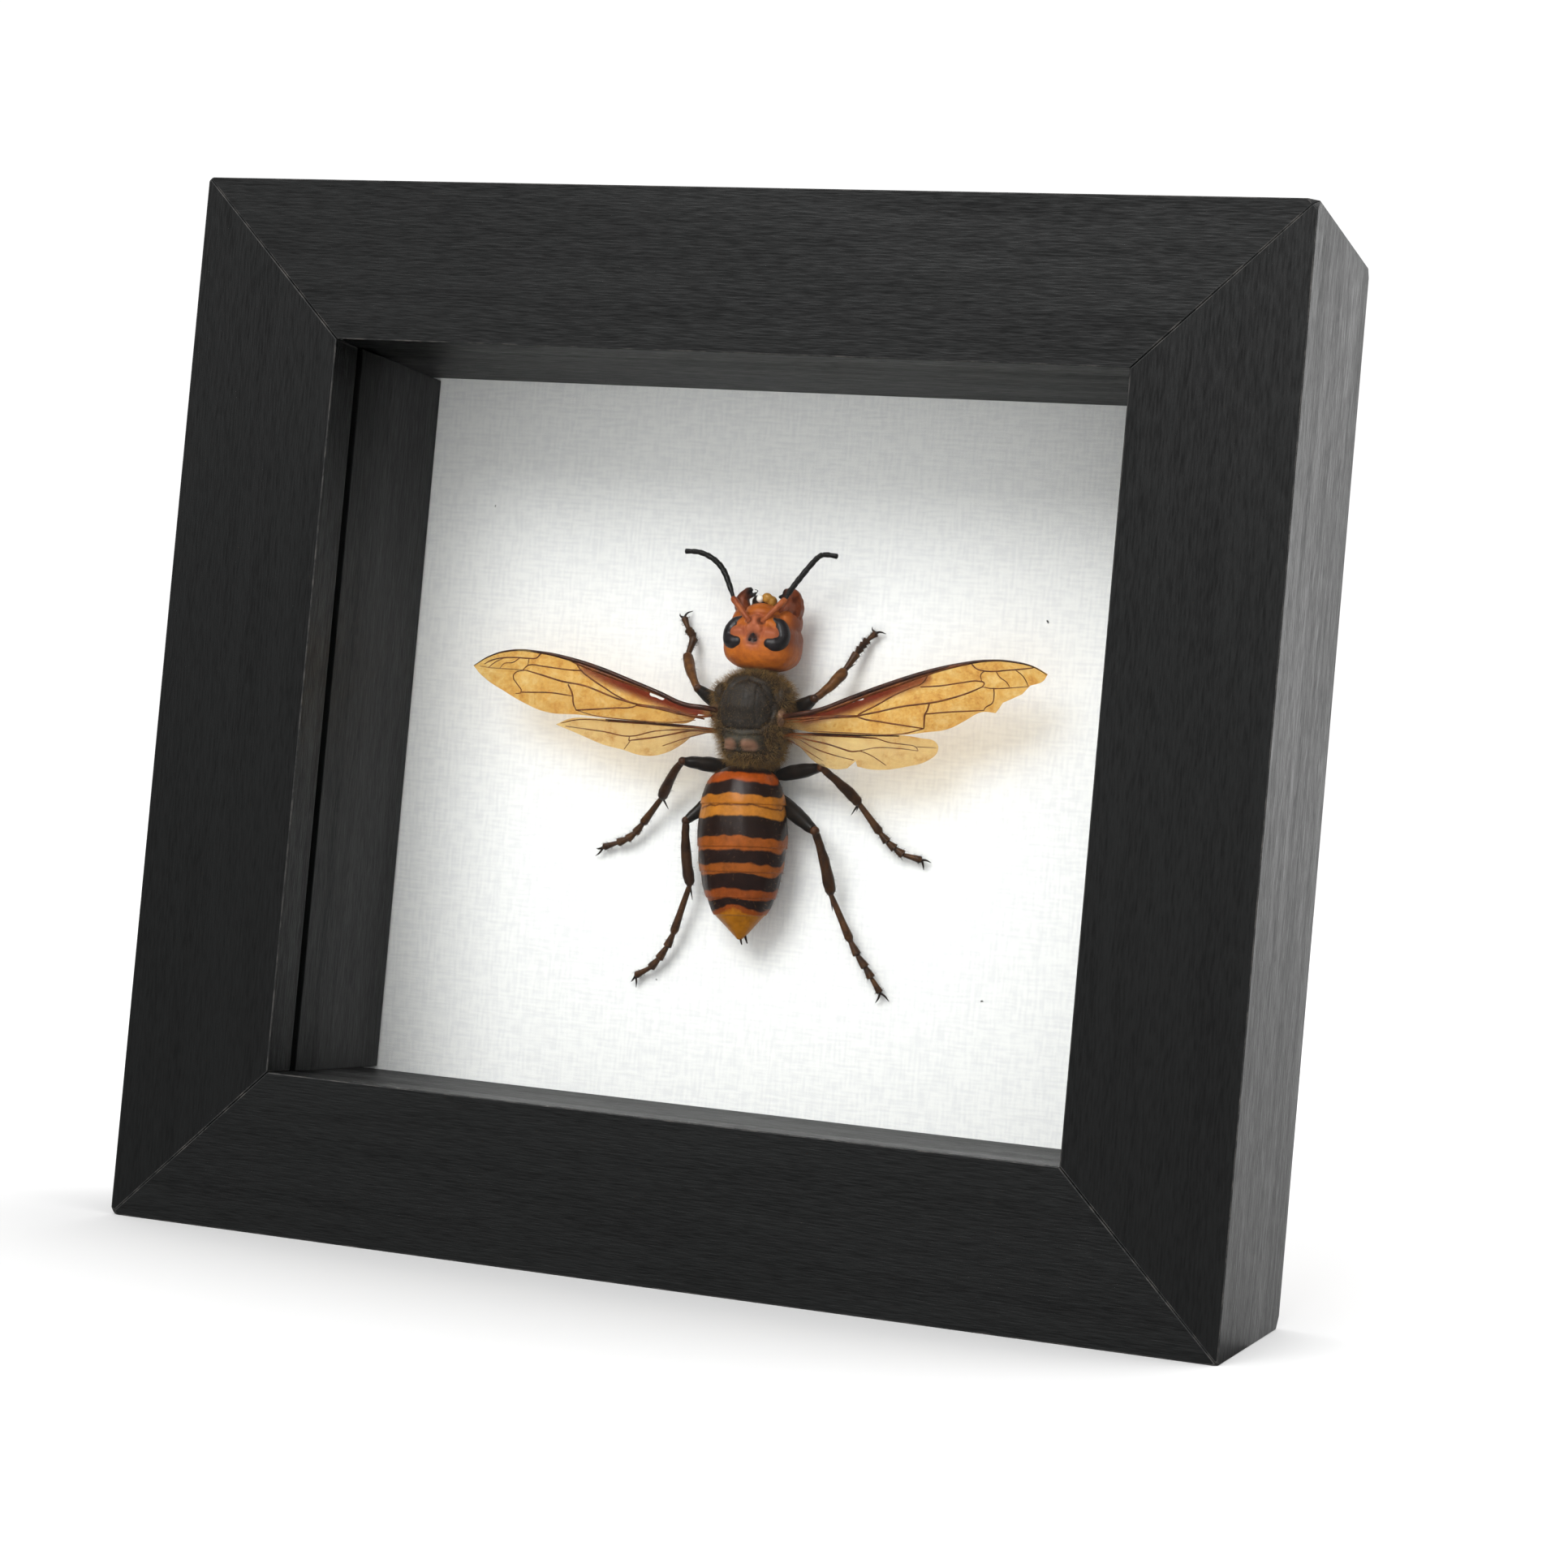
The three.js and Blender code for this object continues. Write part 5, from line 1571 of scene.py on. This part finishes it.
def add_specks():
    """Short bent crumbs of dust that lie on the card."""
    pieces = []
    for i, ((x, y), length, width) in enumerate(SPECKS):
        turn = i * 1.1
        half = Vector((math.cos(turn), math.sin(turn), 0)) * length / 2
        middle = Vector((x, y, width * 0.6))
        bend = middle + Vector((0.03, 0.05, 0.03))
        pieces.append(rod([middle - half, bend, middle + half], [width / 2] * 3, 3, 1))
    finish_piece(join(pieces), "dust_specks", [dust], ["backing_card"])


# Camera and light

# The photograph's viewpoint, from how the corners of frame, pane and card line up in it
CAMERA_PLACE = (0.12103, -0.33884, 0.04639)
CAMERA_AZIMUTH = math.radians(18.74)
CAMERA_RISE = math.radians(1.42)
CAMERA_ROLL = math.radians(5.19)
CAMERA_LENS = 73.41
SENSOR_WIDTH = 36


def add_camera():
    """The camera, turned about its own axes: round, up and then over."""
    bpy.ops.object.select_all(action="DESELECT")
    bpy.ops.object.camera_add(location=CAMERA_PLACE)
    camera = bpy.context.object
    turn = (
        Matrix.Rotation(CAMERA_AZIMUTH, 4, "Z")
        @ Matrix.Rotation(math.pi / 2 + CAMERA_RISE, 4, "X")
        @ Matrix.Rotation(CAMERA_ROLL, 4, "Z")
    )
    camera.rotation_euler = turn.to_euler()
    camera.data.lens = CAMERA_LENS
    camera.data.sensor_width = SENSOR_WIDTH
    camera.data.clip_start = 0.01
    camera.data.clip_end = 100
    bpy.context.scene.camera = camera


def add_sun(name, comes_from, strength, softness):
    """A soft lamp so far away that it lights the whole floor alike."""
    bpy.ops.object.select_all(action="DESELECT")
    bpy.ops.object.light_add(type="SUN")
    sun = bpy.context.object
    sun.name = name
    sun.rotation_euler = Vector(comes_from).to_track_quat("Z", "Y").to_euler()
    sun.data.energy = strength
    sun.data.angle = math.radians(softness)


FLOOR_REACH = 30
FLOOR_THICKNESS = 0.02


def add_studio():
    """A pale floor in a white room: a soft key from above and in front, and two softboxes behind,
    one high up and one low that brushes the frame's right side."""
    paper = new_material("white_paper")
    surface(paper, Base_Color="#d9d9d9", Roughness=0.9, IOR_Level=0.1)
    # The floor's front half isn't mirrored, so that no horizon shows in the pane
    half = FLOOR_REACH / 2
    for name, middle in (("front_floor", -half), ("rear_floor", half)):
        low, high = (-FLOOR_REACH, middle - half, -FLOOR_THICKNESS), (FLOOR_REACH, middle + half, 0)
        floor = block(low, high)
        floor.name = name
        floor.data.materials.append(paper)
        floor.visible_glossy = floor.visible_transmission = middle > 0

    add_sun("key", (-0.2, -1, 0.6), 2.2, 30)
    add_sun("overhead", (0.3, 0.45, 1.1), 1.2, 45)
    add_sun("rim", (0.45, 1, 0.15), 1.1, 50)

    world = bpy.data.worlds.new("white_room")
    world.use_nodes = True
    tree = world.node_tree
    tree.nodes.clear()
    path = tree.nodes.new("ShaderNodeLightPath")
    output = tree.nodes.new("ShaderNodeOutputWorld")
    shade = None
    # The room's brightness for light, then in reflections, then as the camera sees it
    for brightness, ray in ((1.15, None), (0.1, "Is Glossy Ray"), (1.05, "Is Camera Ray")):
        background = tree.nodes.new("ShaderNodeBackground")
        background.inputs["Color"].default_value = (1, 1, 1, 1)
        background.inputs["Strength"].default_value = brightness
        if ray:
            either = tree.nodes.new("ShaderNodeMixShader")
            tree.links.new(path.outputs[ray], either.inputs[0])
            tree.links.new(shade, either.inputs[1])
            tree.links.new(background.outputs[0], either.inputs[2])
            shade = either.outputs[0]
        else:
            shade = background.outputs[0]
    tree.links.new(shade, output.inputs[0])
    bpy.context.scene.world = world
    bpy.context.scene.view_settings.view_transform = "Standard"


add_camera()
add_studio()
add_frame()
add_inner_parts()
add_framers_points()
add_head()
add_mouth()
add_antennae()
add_thorax()
add_abdomen()
for leg_name, leg in LEGS.items():
    add_leg(leg_name, **leg)
for wing_name, wing in WINGS.items():
    add_wing(wing_name, **wing)
add_specks()
